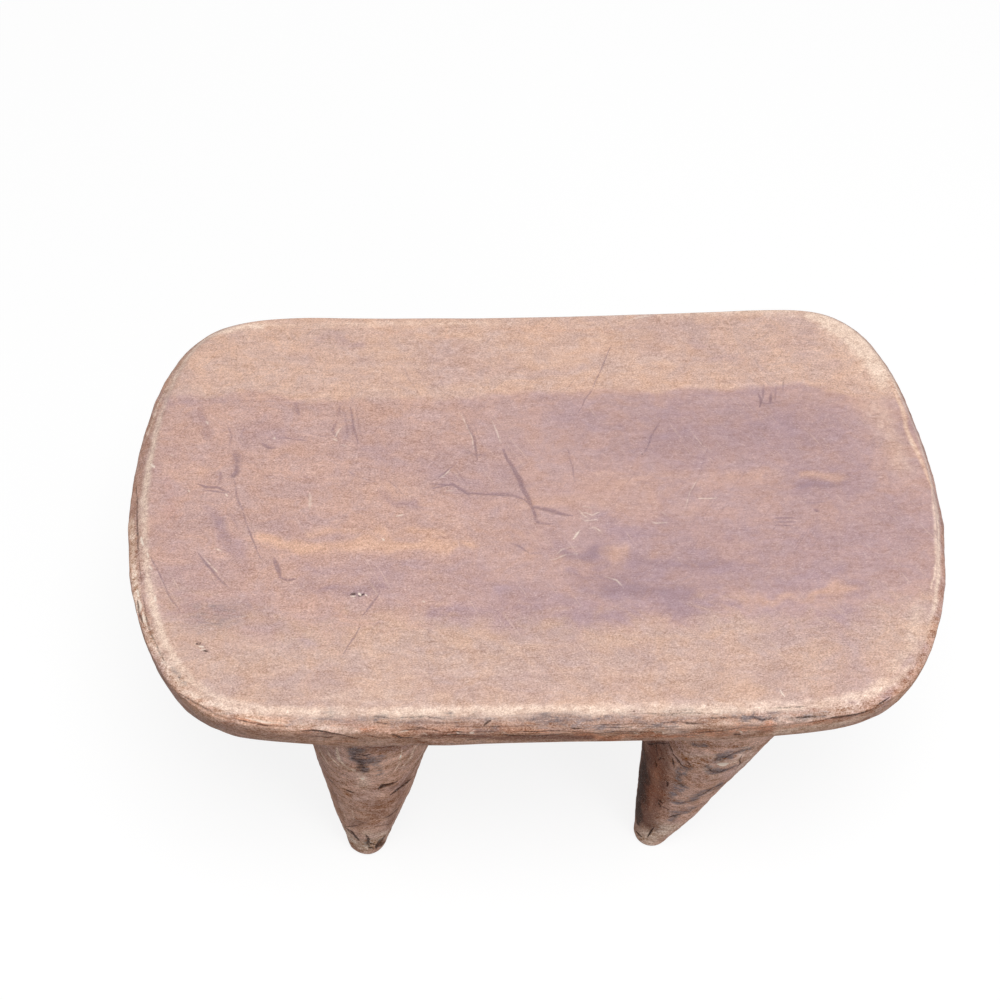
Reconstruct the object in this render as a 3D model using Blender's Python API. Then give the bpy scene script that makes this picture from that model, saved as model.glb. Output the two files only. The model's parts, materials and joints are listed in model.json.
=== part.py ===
"""Senufo stool: a saddle-topped slab seat on four tapering legs, as carved from one log.

The seat and each leg are separate solids. Every leg has a round tenon that stands in a blind hole
in the seat's flat underside. X runs along the seat, the front is at -Y and the floor is at Z = 0.
"""
import math

import bmesh
import bpy
from mathutils import Vector

# Overall sizes
SEAT_LENGTH = 0.562
SEAT_WIDTH = 0.357
STOOL_HEIGHT = 0.252
SEAT_THICKNESS = 0.042
SADDLE_DEPTH = 0.007

# Seat outline: the long sides draw in amidships, and the back edge runs out a little to the right
WAIST_DEPTH = 0.002
BACK_RUN_OUT = 0.003

# Powers of the outline's curve in each corner: higher side powers keep the long sides straight and
# the corners full, and an end power of 2 bows the end like an ellipse
SIDE_POWERS = {"back_right": 9.9, "back_left": 8.8, "front_left": 8.3, "front_right": 8.5}
END_POWERS = {"back_right": 2.0, "back_left": 2.1, "front_left": 1.6, "front_right": 1.5}

# Seat rim, from the worn edge of the top, round the brow, to the edge of the underside
RIM_TOP_INSET = 0.011
RIM_BROW_DROP = 0.012
RIM_SIDE_INSET = 0.001
RIM_CURL_INSET = 0.003
RIM_FOOT_INSET = 0.006
RIM_FOOT_RISE = 0.005

# Legs: where they stand under the seat, the oval root of each, the taper and the rounded tip
LEG_END_INSET = 0.166
LEG_EDGE_MARGIN = 0.003
LEG_ROOT_HALF_LENGTH = 0.053
LEG_ROOT_HALF_WIDTH = 0.048
LEG_FLARE_WIDTH = 0.003
LEG_FLARE_HEIGHT = 0.014
LEG_TIP_RADIUS = 0.016
LEG_TIP_ROUNDING = 0.008
FOOT_RADIUS = 0.010

# How far the legs splay to the front and the back, and the most that hand carving leans a tip to
# the left of its root and sets a root to the right of its place
LEG_SPLAY = 0.016
LEG_LEAN = 0.031
ROOT_SHIFT = 0.007

# The corner of the seat that each leg stands under, as directions along X and Y
LEG_CORNERS = {
    "leg_front_left": (-1, -1),
    "leg_front_right": (1, -1),
    "leg_back_left": (-1, 1),
    "leg_back_right": (1, 1),
}
LEAN_SHARES = {
    "leg_front_left": 0.3,
    "leg_front_right": 1.0,
    "leg_back_left": 0.2,
    "leg_back_right": 0.4,
}
ROOT_SHIFT_SHARES = {
    "leg_front_left": 0.0,
    "leg_front_right": 1.0,
    "leg_back_left": -0.3,
    "leg_back_right": 0.4,
}

# Joints between the legs and the seat: the wood left over each blind hole sets the tenon's length
TENON_RADIUS = 0.016
TENON_COVER = 0.013
JOINT_CLEARANCE = 0.0003
CUTTER_OVERRUN = 0.004

# Mesh fineness
OUTLINE_POINTS = 72
OUTLINE_WALK_STEPS = 1440
LEG_SIDES = 28
SHADE_SHARP_ANGLE = math.radians(40)

# Where the rings lie: across the underside, round the brow, across the top, and on a leg how far
# up the rounding and the flare, with the share of the rounding's or the flare's width reached there
UNDERSIDE_RING_SHARE = 0.5
BROW_RING_SHARES = (1, 0.75, 0.5, 0.25, 0)
TOP_RING_SHARES = (0.85, 0.6, 0.3)
ANKLE_RISE_SHARE = 1 / 3
ANKLE_WIDTH_SHARE = 2 / 3
FLARE_RISE_SHARE = 2 / 3
FLARE_WIDTH_SHARE = 1 / 2
SIDE_SADDLE_SHARE = 0.5

# Wood colours, as linear red, green and blue
SEAT_COLOUR = (0.50, 0.35, 0.29, 1.0)
LEG_COLOUR = (0.21, 0.12, 0.085, 1.0)
WOOD_ROUGHNESS = 0.55

# Levels, lengths and places worked out from the sizes above
UNDERSIDE_Z = STOOL_HEIGHT - SEAT_THICKNESS
SHOULDER_Z = UNDERSIDE_Z - JOINT_CLEARANCE
FLARE_START_Z = SHOULDER_Z - LEG_FLARE_HEIGHT
TENON_LENGTH = SEAT_THICKNESS - SADDLE_DEPTH - TENON_COVER
LEG_SPREAD_X = SEAT_LENGTH / 2 - LEG_END_INSET
LEG_SPREAD_Y = SEAT_WIDTH / 2 - WAIST_DEPTH - RIM_FOOT_INSET - LEG_EDGE_MARGIN - LEG_ROOT_HALF_WIDTH


def clear_scene():
    """Remove every object, so that the script can be run again."""
    for obj in list(bpy.data.objects):
        bpy.data.objects.remove(obj, do_unlink=True)


def new_collection(name):
    """Make a collection in the scene."""
    collection = bpy.data.collections.new(name)
    bpy.context.scene.collection.children.link(collection)
    return collection


def wood(name, colour):
    """Make a plain wood material."""
    material = bpy.data.materials.new(name)
    material.use_nodes = True
    shader = material.node_tree.nodes["Principled BSDF"]
    shader.inputs["Base Color"].default_value = colour
    shader.inputs["Roughness"].default_value = WOOD_ROUGHNESS
    shader.inputs["Metallic"].default_value = 0.0
    return material


def add_object(name, bm, collection):
    """Turn a bmesh into an object of the collection, with its faces pointing out."""
    bmesh.ops.recalc_face_normals(bm, faces=bm.faces)
    mesh = bpy.data.meshes.new(name)
    bm.to_mesh(mesh)
    bm.free()
    obj = bpy.data.objects.new(name, mesh)
    collection.objects.link(obj)
    return obj


def smooth(obj):
    """Shade the object smooth, except across its sharp edges."""
    obj.data.shade_smooth()
    obj.data.set_sharp_from_angle(angle=SHADE_SHARP_ANGLE)


def skin(bm, rings):
    """Stretch faces over a stack of rings and close both ends with a fan."""
    rows = [[bm.verts.new(point) for point in ring] for ring in rings]
    for lower, upper in zip(rows, rows[1:]):
        for i in range(len(lower)):
            j = (i + 1) % len(lower)
            bm.faces.new((lower[i], lower[j], upper[j], upper[i]))
    for row in (rows[0], rows[-1]):
        cap = bm.faces.new(row)
        bmesh.ops.poke(bm, faces=[cap])


def between(start, end, share):
    """Go a share of the way from one value to another."""
    return start + (end - start) * share


def signed_power(value, power):
    """Raise a number to a power and keep its sign."""
    return math.copysign(abs(value) ** power, value)


def corner_name(x_part, y_part):
    """Name the corner of the seat that a direction points to."""
    depth = "back" if y_part >= 0 else "front"
    side = "right" if x_part >= 0 else "left"
    return f"{depth}_{side}"


def side_reach(x, sine):
    """Say how far the long side stands from the middle line, at a place along the seat."""
    waist = WAIST_DEPTH * math.cos(math.pi * x / SEAT_LENGTH) ** 2
    run_out = BACK_RUN_OUT * 2 * x / SEAT_LENGTH if sine > 0 else 0
    return SEAT_WIDTH / 2 - waist + run_out


def outline_point(angle, inset):
    """Find the point of the seat's outline at an angle, drawn in by an inset."""
    cosine = math.cos(angle)
    sine = math.sin(angle)
    corner = corner_name(cosine, sine)
    x = (SEAT_LENGTH / 2 - inset) * signed_power(cosine, 2 / SIDE_POWERS[corner])
    y = (side_reach(x, sine) - inset) * signed_power(sine, 2 / END_POWERS[corner])
    return Vector((x, y))


def spaced_outline(inset):
    """Space points evenly along the seat's outline, counter-clockwise."""
    walk = [outline_point(2 * math.pi * i / OUTLINE_WALK_STEPS, inset) for i in range(OUTLINE_WALK_STEPS)]
    reach = [0.0]
    for here, after in zip(walk, walk[1:] + walk[:1]):
        reach.append(reach[-1] + (after - here).length)
    points = []
    step = 0
    for i in range(OUTLINE_POINTS):
        target = reach[-1] * i / OUTLINE_POINTS
        while reach[step + 1] < target:
            step += 1
        share = (target - reach[step]) / (reach[step + 1] - reach[step])
        after = walk[(step + 1) % OUTLINE_WALK_STEPS]
        points.append(walk[step].lerp(after, share))
    return points


def saddle_drop(x):
    """Say how far the top lies below its raised ends, at a place along the seat."""
    top_reach = SEAT_LENGTH / 2 - RIM_TOP_INSET
    return SADDLE_DEPTH * (1 - (x / top_reach) ** 2)


def seat_ring(inset, share, level, saddle_share):
    """Place one ring of the seat: its outline drawn in, shrunk to a share, at a level under the saddle."""
    ring = []
    for point in spaced_outline(inset):
        x, y = point * share
        ring.append(Vector((x, y, level - saddle_share * saddle_drop(x))))
    return ring


def brow_ring(share):
    """Place a ring of the rounded upper rim, from the top's edge at 0 to the brow at 1."""
    turn = share * math.pi / 2
    inset = RIM_TOP_INSET * (1 - math.sin(turn))
    drop = RIM_BROW_DROP * (1 - math.cos(turn))
    return seat_ring(inset, 1, STOOL_HEIGHT - drop, 1)


def seat_rings():
    """List the seat's rings from the middle of the underside, round the rim, to the middle of the top."""
    curl_z = UNDERSIDE_Z + RIM_FOOT_RISE
    side_middle_z = between(curl_z, STOOL_HEIGHT - RIM_BROW_DROP, 1 / 2)
    rings = [
        seat_ring(RIM_FOOT_INSET, UNDERSIDE_RING_SHARE, UNDERSIDE_Z, 0),
        seat_ring(RIM_FOOT_INSET, 1, UNDERSIDE_Z, 0),
        seat_ring(RIM_CURL_INSET, 1, curl_z, 0),
        seat_ring(RIM_SIDE_INSET, 1, side_middle_z, SIDE_SADDLE_SHARE),
    ]
    rings += [brow_ring(share) for share in BROW_RING_SHARES]
    rings += [seat_ring(RIM_TOP_INSET, share, STOOL_HEIGHT, 1) for share in TOP_RING_SHARES]
    return rings


def root_place(name):
    """Find the middle of a leg's root."""
    x_side, y_side = LEG_CORNERS[name]
    shift = ROOT_SHIFT * ROOT_SHIFT_SHARES[name]
    return Vector((x_side * LEG_SPREAD_X + shift, y_side * LEG_SPREAD_Y))


def tip_place(name):
    """Find the middle of a leg's foot, on the floor."""
    splay = LEG_CORNERS[name][1] * LEG_SPLAY
    return root_place(name) + Vector((-LEG_LEAN * LEAN_SHARES[name], splay))


def leg_ring(name, level, half_length, half_width):
    """Place one oval ring of a leg, round the line from its foot to its root."""
    centre = tip_place(name).lerp(root_place(name), min(level / SHOULDER_Z, 1))
    ring = []
    for i in range(LEG_SIDES):
        angle = 2 * math.pi * i / LEG_SIDES
        x = centre.x + half_length * math.cos(angle)
        y = centre.y + half_width * math.sin(angle)
        ring.append(Vector((x, y, level)))
    return ring


def leg_rings(name):
    """List a leg's rings from its foot, up the taper and the flare, to the end of its tenon."""
    ankle_radius = between(FOOT_RADIUS, LEG_TIP_RADIUS, ANKLE_WIDTH_SHARE)
    flare_z = between(FLARE_START_Z, SHOULDER_Z, FLARE_RISE_SHARE)
    neck_half_length = LEG_ROOT_HALF_LENGTH - LEG_FLARE_WIDTH
    neck_half_width = LEG_ROOT_HALF_WIDTH - LEG_FLARE_WIDTH
    flare_half_length = between(neck_half_length, LEG_ROOT_HALF_LENGTH, FLARE_WIDTH_SHARE)
    flare_half_width = between(neck_half_width, LEG_ROOT_HALF_WIDTH, FLARE_WIDTH_SHARE)
    return [
        leg_ring(name, 0, FOOT_RADIUS, FOOT_RADIUS),
        leg_ring(name, LEG_TIP_ROUNDING * ANKLE_RISE_SHARE, ankle_radius, ankle_radius),
        leg_ring(name, LEG_TIP_ROUNDING, LEG_TIP_RADIUS, LEG_TIP_RADIUS),
        leg_ring(name, FLARE_START_Z, neck_half_length, neck_half_width),
        leg_ring(name, flare_z, flare_half_length, flare_half_width),
        leg_ring(name, SHOULDER_Z, LEG_ROOT_HALF_LENGTH, LEG_ROOT_HALF_WIDTH),
        leg_ring(name, SHOULDER_Z, TENON_RADIUS, TENON_RADIUS),
        leg_ring(name, UNDERSIDE_Z + TENON_LENGTH, TENON_RADIUS, TENON_RADIUS),
    ]


def build_leg(name, collection):
    """Build one leg with its tenon."""
    bm = bmesh.new()
    skin(bm, leg_rings(name))
    leg = add_object(name, bm, collection)
    leg.data.materials.append(wood(f"{name}_wood", LEG_COLOUR))
    smooth(leg)
    return leg


def build_socket_cutter(name, collection):
    """Build the cylinder that cuts one leg's blind hole."""
    depth = TENON_LENGTH + JOINT_CLEARANCE
    bm = bmesh.new()
    bmesh.ops.create_cone(
        bm,
        cap_ends=True,
        segments=LEG_SIDES,
        radius1=TENON_RADIUS + JOINT_CLEARANCE,
        radius2=TENON_RADIUS + JOINT_CLEARANCE,
        depth=depth + CUTTER_OVERRUN,
    )
    middle = UNDERSIDE_Z + (depth - CUTTER_OVERRUN) / 2
    bmesh.ops.translate(bm, vec=(*root_place(name), middle), verts=bm.verts)
    cutter = add_object(f"{name}_socket_cutter", bm, collection)
    cutter.hide_render = True
    cutter.display_type = "WIRE"
    return cutter


def build_seat(collection, cutters):
    """Build the seat slab and cut the four sockets into its underside."""
    bm = bmesh.new()
    skin(bm, seat_rings())
    seat = add_object("seat", bm, collection)
    seat.data.materials.append(wood("seat_wood", SEAT_COLOUR))
    for cutter in cutters:
        cut = seat.modifiers.new(f"cut_{cutter.name}", "BOOLEAN")
        cut.operation = "DIFFERENCE"
        cut.solver = "EXACT"
        cut.object = cutter
    smooth(seat)
    return seat


def build_stool():
    """Build the whole stool."""
    clear_scene()
    parts = new_collection("senufo_stool")
    cutter_box = new_collection("senufo_stool_cutters")
    cutters = [build_socket_cutter(name, cutter_box) for name in LEG_CORNERS]
    build_seat(parts, cutters)
    for name in LEG_CORNERS:
        build_leg(name, parts)


build_stool()
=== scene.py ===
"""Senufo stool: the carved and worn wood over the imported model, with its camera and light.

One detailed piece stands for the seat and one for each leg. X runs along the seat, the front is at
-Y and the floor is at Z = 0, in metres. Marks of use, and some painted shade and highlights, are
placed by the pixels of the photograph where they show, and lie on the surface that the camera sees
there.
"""

import itertools
import json
import math
from collections import namedtuple
from types import SimpleNamespace

import bmesh
import bpy
import numpy as np
from mathutils import Matrix, Vector
from mathutils.bvhtree import BVHTree


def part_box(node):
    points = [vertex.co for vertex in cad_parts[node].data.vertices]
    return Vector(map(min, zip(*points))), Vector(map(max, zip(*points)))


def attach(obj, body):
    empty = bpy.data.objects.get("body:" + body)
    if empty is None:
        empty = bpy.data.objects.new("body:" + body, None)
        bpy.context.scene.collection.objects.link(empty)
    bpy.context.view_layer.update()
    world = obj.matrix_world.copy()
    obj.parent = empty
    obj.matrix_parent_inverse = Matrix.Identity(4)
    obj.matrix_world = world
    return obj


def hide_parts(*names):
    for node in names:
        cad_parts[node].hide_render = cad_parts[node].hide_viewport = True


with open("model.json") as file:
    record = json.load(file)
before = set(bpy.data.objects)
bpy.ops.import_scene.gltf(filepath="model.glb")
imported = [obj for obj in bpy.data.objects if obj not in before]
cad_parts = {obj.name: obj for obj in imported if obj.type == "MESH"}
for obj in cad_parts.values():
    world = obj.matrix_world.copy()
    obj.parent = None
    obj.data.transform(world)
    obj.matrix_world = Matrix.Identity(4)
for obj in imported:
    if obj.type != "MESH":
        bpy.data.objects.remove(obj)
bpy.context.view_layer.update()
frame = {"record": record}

# Camera of the photograph: a 1000 pixel square frame, with the lens as a focal length in pixels
PHOTO_SIZE = 1000
FOCAL_PIXELS = 1800
SENSOR_WIDTH = 36
CAMERA_PLACE = Vector((-0.0826, -0.737, 1.244))
CAMERA_AIM = Vector((-0.02385, 0.0325, 0.2))
CAMERA_ROLL = 0.04775
CAMERA_REACH = 50

# Seat sizes, read from the frame
seat_low, seat_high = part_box("seat")
SEAT_LENGTH = seat_high.x - seat_low.x
SEAT_WIDTH = seat_high.y - seat_low.y
STOOL_HEIGHT = seat_high.z
UNDERSIDE_Z = seat_low.z
SEAT_THICKNESS = STOOL_HEIGHT - UNDERSIDE_Z

# Seat outline and saddle, as carved
SADDLE_DEPTH = 0.007
WAIST_DEPTH = 0.002
BACK_RUN_OUT = 0.003
SIDE_POWERS = {(1, 1): 12.2, (-1, 1): 10.2, (-1, -1): 8.3, (1, -1): 8.5}
END_POWERS = {(1, 1): 1.65, (-1, 1): 1.8, (-1, -1): 1.6, (1, -1): 1.5}

# Rim of the seat, as insets from the outline and drops from the top: over the worn edge, down the
# upper band to the brow, and down the lower side to the underside
RIM_PROFILE = (
    (0.0190, 0.0000),
    (0.0135, 0.0001),
    (0.0108, 0.0007),
    (0.0088, 0.0024),
    (0.0045, 0.0068),
    (0.0012, 0.0108),
    (0.0000, 0.0142),
    (0.0006, 0.0210),
    (0.0016, 0.0300),
    (0.0030, 0.0370),
    (0.0058, 0.0410),
    (0.0100, 0.0420),
)
RIM_BROW_DROP = 0.0135
ARRIS_INSET = 0.0108
RIM_LEFT_WIDTH = 1.35
RIM_RIGHT_WIDTH = 0.65
RIM_BACK_WIDTH = 0.70
RIM_FRONT_WIDTH = 1.0
FRONT_CURL = 0.0030
CURL_PLACE = 0.66
CURL_SPREAD = 0.18
FRONT_BROW_RISE = 0.5
BACK_BROW_RISE = 0.1
BROW_RISE_FROM = 0.30
BROW_RISE_TO = 0.65

# Rubbed line along the arris, pale with wear and a painted highlight: its place as an inset, its half
# width, its strength, and how far in it shifts at some places along the front
RUB_HIGHLIGHT_PLACE = 0.95 * ARRIS_INSET
RUB_HIGHLIGHT_SPREAD = 0.0037
RUB_HIGHLIGHT_STRENGTH = 0.64
RUB_HIGHLIGHT_SHIFT_PLACES = (-0.20, 0.00, 0.10, 0.20)
RUB_HIGHLIGHT_SHIFTS = (0.0005, 0.0022, -0.0012, -0.0036)

# Where the worn top turns into unpolished side, in shares of the way down to the brow
UPPER_SIDE_SPAN = (0.28, 0.58)
LOWER_SIDE_SPAN = (0.92, 1.08)
UPPER_SIDE_SHARE = 0.7

# How squarely a surface has to cross the log to show its end grain, from hardly to fully
END_GRAIN_SPAN = (0.45, 0.85)

# Legs: taper and rounded tip, and how each stands out at its root from the plainer packed leg
LEG_TIP_RADIUS = {"left": 0.0149, "right": 0.0134}
LEG_TIP_ROUNDING = 0.0070
FOOT_RADIUS = 0.0092
LEG_BELLY = {"left": 0.0010, "right": 0.0017}
LEG_FLARE_WIDTH = {"left": 0.0030, "right": 0.0012}
LEG_FLARE_SHIFT = {"left": 0.0, "right": -0.0018}
LEG_FLARE_HEIGHT = 0.014
ROOT_OVERHANG = 0.003
ROOT_SINK = 0.0015
ROOT_GROWTH = {"left": (0.0026, 0.0018), "right": (0.0040, 0.0018)}
ROOT_SHIFT = {"left": 0.0010, "right": 0.0043}
FOOT_SHIFT = {"left": -0.0007, "right": -0.0017}

# Mesh fineness
TOP_STEP = 0.0030
RIM_ROWS = 30
OUTLINE_WALK_STEPS = 7200
LEG_SIDES = 150
LEG_ROWS = 110
FOOT_RINGS = 5
MARK_REFINEMENTS = (0.0020, 0.0008)

# Unevenness: its height, the size of its features, how each axis is squeezed for it, and its seed
SEAT_WAVES = (0.0005, 0.045, (0.35, 1, 1), 1)
SEAT_RIPPLES = (0.0003, 0.018, (0.35, 1, 1), 2)
SEAT_FACETS = (0.0011, 0.024, (0.5, 1, 1), 3)
SEAT_FIBRES = (0.0003, 0.0035, (0.08, 1, 1), 4)
LEG_FACETS = (0.0013, 0.026, (1, 1, 0.55), 5)
LEG_FIBRES = (0.0003, 0.004, (0.15, 1, 1), 6)
LEG_WAVES = (0.0008, 0.05, (1, 1, 1), 7)
RUB_HIGHLIGHT_UNEVENNESS = (0.34, 0.03, (1, 1, 1), 8)
SIDE_BORDER = (0.12, 0.012, (1, 1, 1), 9)
LATTICE = 32
SCOOP_MEAN_SHARE = 0.7
ROOT_FADE = 0.02
FOOT_FADE = 0.004

# How marks lie: a narrow one thins out towards its ends, and all wander a little about their paths,
# a wide one in shares of its width
NARROW_MARK = 0.0045
NARROW_WANDER = (0.009, 0.0008)
WANDER_SIZE = 0.9
FULL_WANDER = 0.5
WANDER_REACH = {"pale": 0.2, "umber": 0.2}
WANDER_SEEDS = (11, 12, 13)
MARK_END = 0.04
MARK_THINNING = 0.4

# The lip beside a cut: its height as a share of the cut's depth, its place and width as shares of
# the cut's half width
LIP_HEIGHT = 0.2
LIP_PLACE = 1.25
LIP_WIDTH = 0.5

# Heartwood round the middle of the log, which runs along the seat: its place and radius, the violet
# line at its border, how far the log strays, where its back half and its right end begin, and how
# soft its borders are
PITH_Y = -0.0035
PITH_Z = 0.08
HEARTWOOD_RADIUS = 0.1925
HEART_EDGE = 0.0025
LOG_DRIFT = 0.022
BACK_SPAN = (-0.01, 0.01)
RIGHT_SPAN = (-0.10, 0.08)
FRONT_BORDER = 0.008
BACK_BORDER = 0.002
BORDER_UNEVENNESS = 4

# Soft studio light
SKY_STRENGTH = 0.45
LAMP_PLACE = Vector((0.05, -0.6, 2.2))
LAMP_SIZE = 1.2
LAMP_POWER = 23
FILL_PLACE = Vector((1.1, -1.4, 0.9))
FILL_SIZE = 0.8
FILL_POWER = 6
FLOOR_SIZE = 12
FLOOR_GREY = 0.2
FLOOR_ROUGHNESS = 0.9
FLOOR_GLOW = 0.84

LEGS = ("leg_front_left", "leg_front_right", "leg_back_left", "leg_back_right")
MASKS = ("cut", "dark", "pale", "violet", "ember", "rust", "grey", "umber", "chip", "side", "end")

# Kinds of marks: the mask that each paints, and how deep it cuts in millimetres
GOUGE = ("cut", 0.6)
DENT = ("cut", 0.5)
SCRATCH = ("cut", 0.15)
SHADE = ("cut", 0)
ADZE_CUT = ("dark", 1)
SPLIT = ("dark", 0.6)
CRACK = ("dark", 0.5)
LINE = ("dark", 0.4)
FINE_LINE = ("dark", 0.3)
HAIRLINE = ("dark", 0.2)
# Dark patches: soot, and painted shade on the right leg's left facet
SOOT_AND_SHADE = ("dark", 0)
FLECK = ("chip", 0.2)
VIOLET = ("violet", 0)
EMBER = ("ember", 0)
PALE = ("pale", 0)
RUST = ("rust", 0)
UMBER = ("umber", 0)
GREY = ("grey", 0)

Mark = namedtuple("Mark", "mask width strength depth pixels")


def marks(*rows):
    """Describe marks of use, painted light and shade, each by its kind, width in millimetres, strength and
    path in pixels.
    """
    return [
        Mark(mask, wide / 1000, strength, deep / 1000, path)
        for (mask, deep), wide, strength, *path in rows
    ]


# Top: gouges, and small holes with pale edges
TOP_GOUGES = marks(
    (GOUGE, 3.8, 1.1, (503, 450), (506, 457), (524, 488), (533, 510), (538, 523)),
    (GOUGE, 2.2, 0.85, (433, 488), (453, 483), (467, 493), (500, 495), (524, 499)),
    (GOUGE, 3.8, 0.95, (524, 499), (533, 507), (546, 510), (573, 516)),
    (GOUGE, 3, 0.7, (533, 510), (536, 520), (541, 523), (552, 524)),
    (GOUGE, 3, 0.75, (487, 493), (505, 493), (522, 498)),
    (GOUGE, 2.4, 0.75, (466, 421), (473, 438), (477, 460)),
    (DENT, 3.4, 0.6, (343, 593), (356, 594), (369, 595)),
    (FINE_LINE, 1.8, 0.9, (350, 594), (356, 593)),
    (FINE_LINE, 1.8, 0.9, (358, 596), (364, 594)),
    (GOUGE, 3.6, 0.5, (196, 640), (203, 645), (210, 652)),
    (FINE_LINE, 1.8, 0.9, (196, 644), (201, 642)),
    (FINE_LINE, 1.8, 0.9, (203, 650), (208, 651)),
    (FLECK, 1.6, 0.9, (199, 646), (204, 646)),
    (FLECK, 1.4, 0.7, (201, 650), (206, 648)),
    (GOUGE, 2.4, 0.75, (350, 407), (353, 424), (358, 444)),
    (GOUGE, 2.2, 0.55, (343, 408), (346, 424), (348, 438)),
    (GOUGE, 3, 0.65, (337, 420), (332, 430), (338, 438)),
    (GOUGE, 1.8, 0.4, (355, 408), (359, 426), (363, 440)),
    (GOUGE, 2.2, 0.6, (340, 405), (338, 416)),
    (GOUGE, 3.4, 1, (274, 558), (277, 566), (280, 577)),
    (GOUGE, 3, 0.85, (279, 577), (287, 580), (295, 579)),
    (GOUGE, 3.6, 0.65, (296, 403), (298, 411), (299, 415)),
    (GOUGE, 5.6, 0.95, (239, 454), (238, 464), (236, 473)),
    (GOUGE, 4, 0.7, (262, 443), (268, 447), (275, 448)),
    (GOUGE, 4.4, 0.55, (221, 472), (220, 482)),
    (GOUGE, 5, 0.5, (203, 412), (206, 424), (204, 436)),
    (SCRATCH, 2, 0.55, (226, 423), (232, 436), (228, 448)),
    (SCRATCH, 1.8, 0.5, (244, 426), (240, 440)),
    (SCRATCH, 1.8, 0.7, (262, 440), (284, 438), (306, 441)),
    (SCRATCH, 1.8, 0.6, (309, 433), (322, 436), (336, 434)),
    (GOUGE, 4, 0.4, (300, 582), (303, 587), (306, 592)),
    (GOUGE, 2.2, 1, (759, 393), (761, 400), (759, 407)),
    (GOUGE, 2.4, 1, (771, 392), (770, 404)),
    (GOUGE, 3, 0.8, (815, 509), (819, 511)),
)

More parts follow.
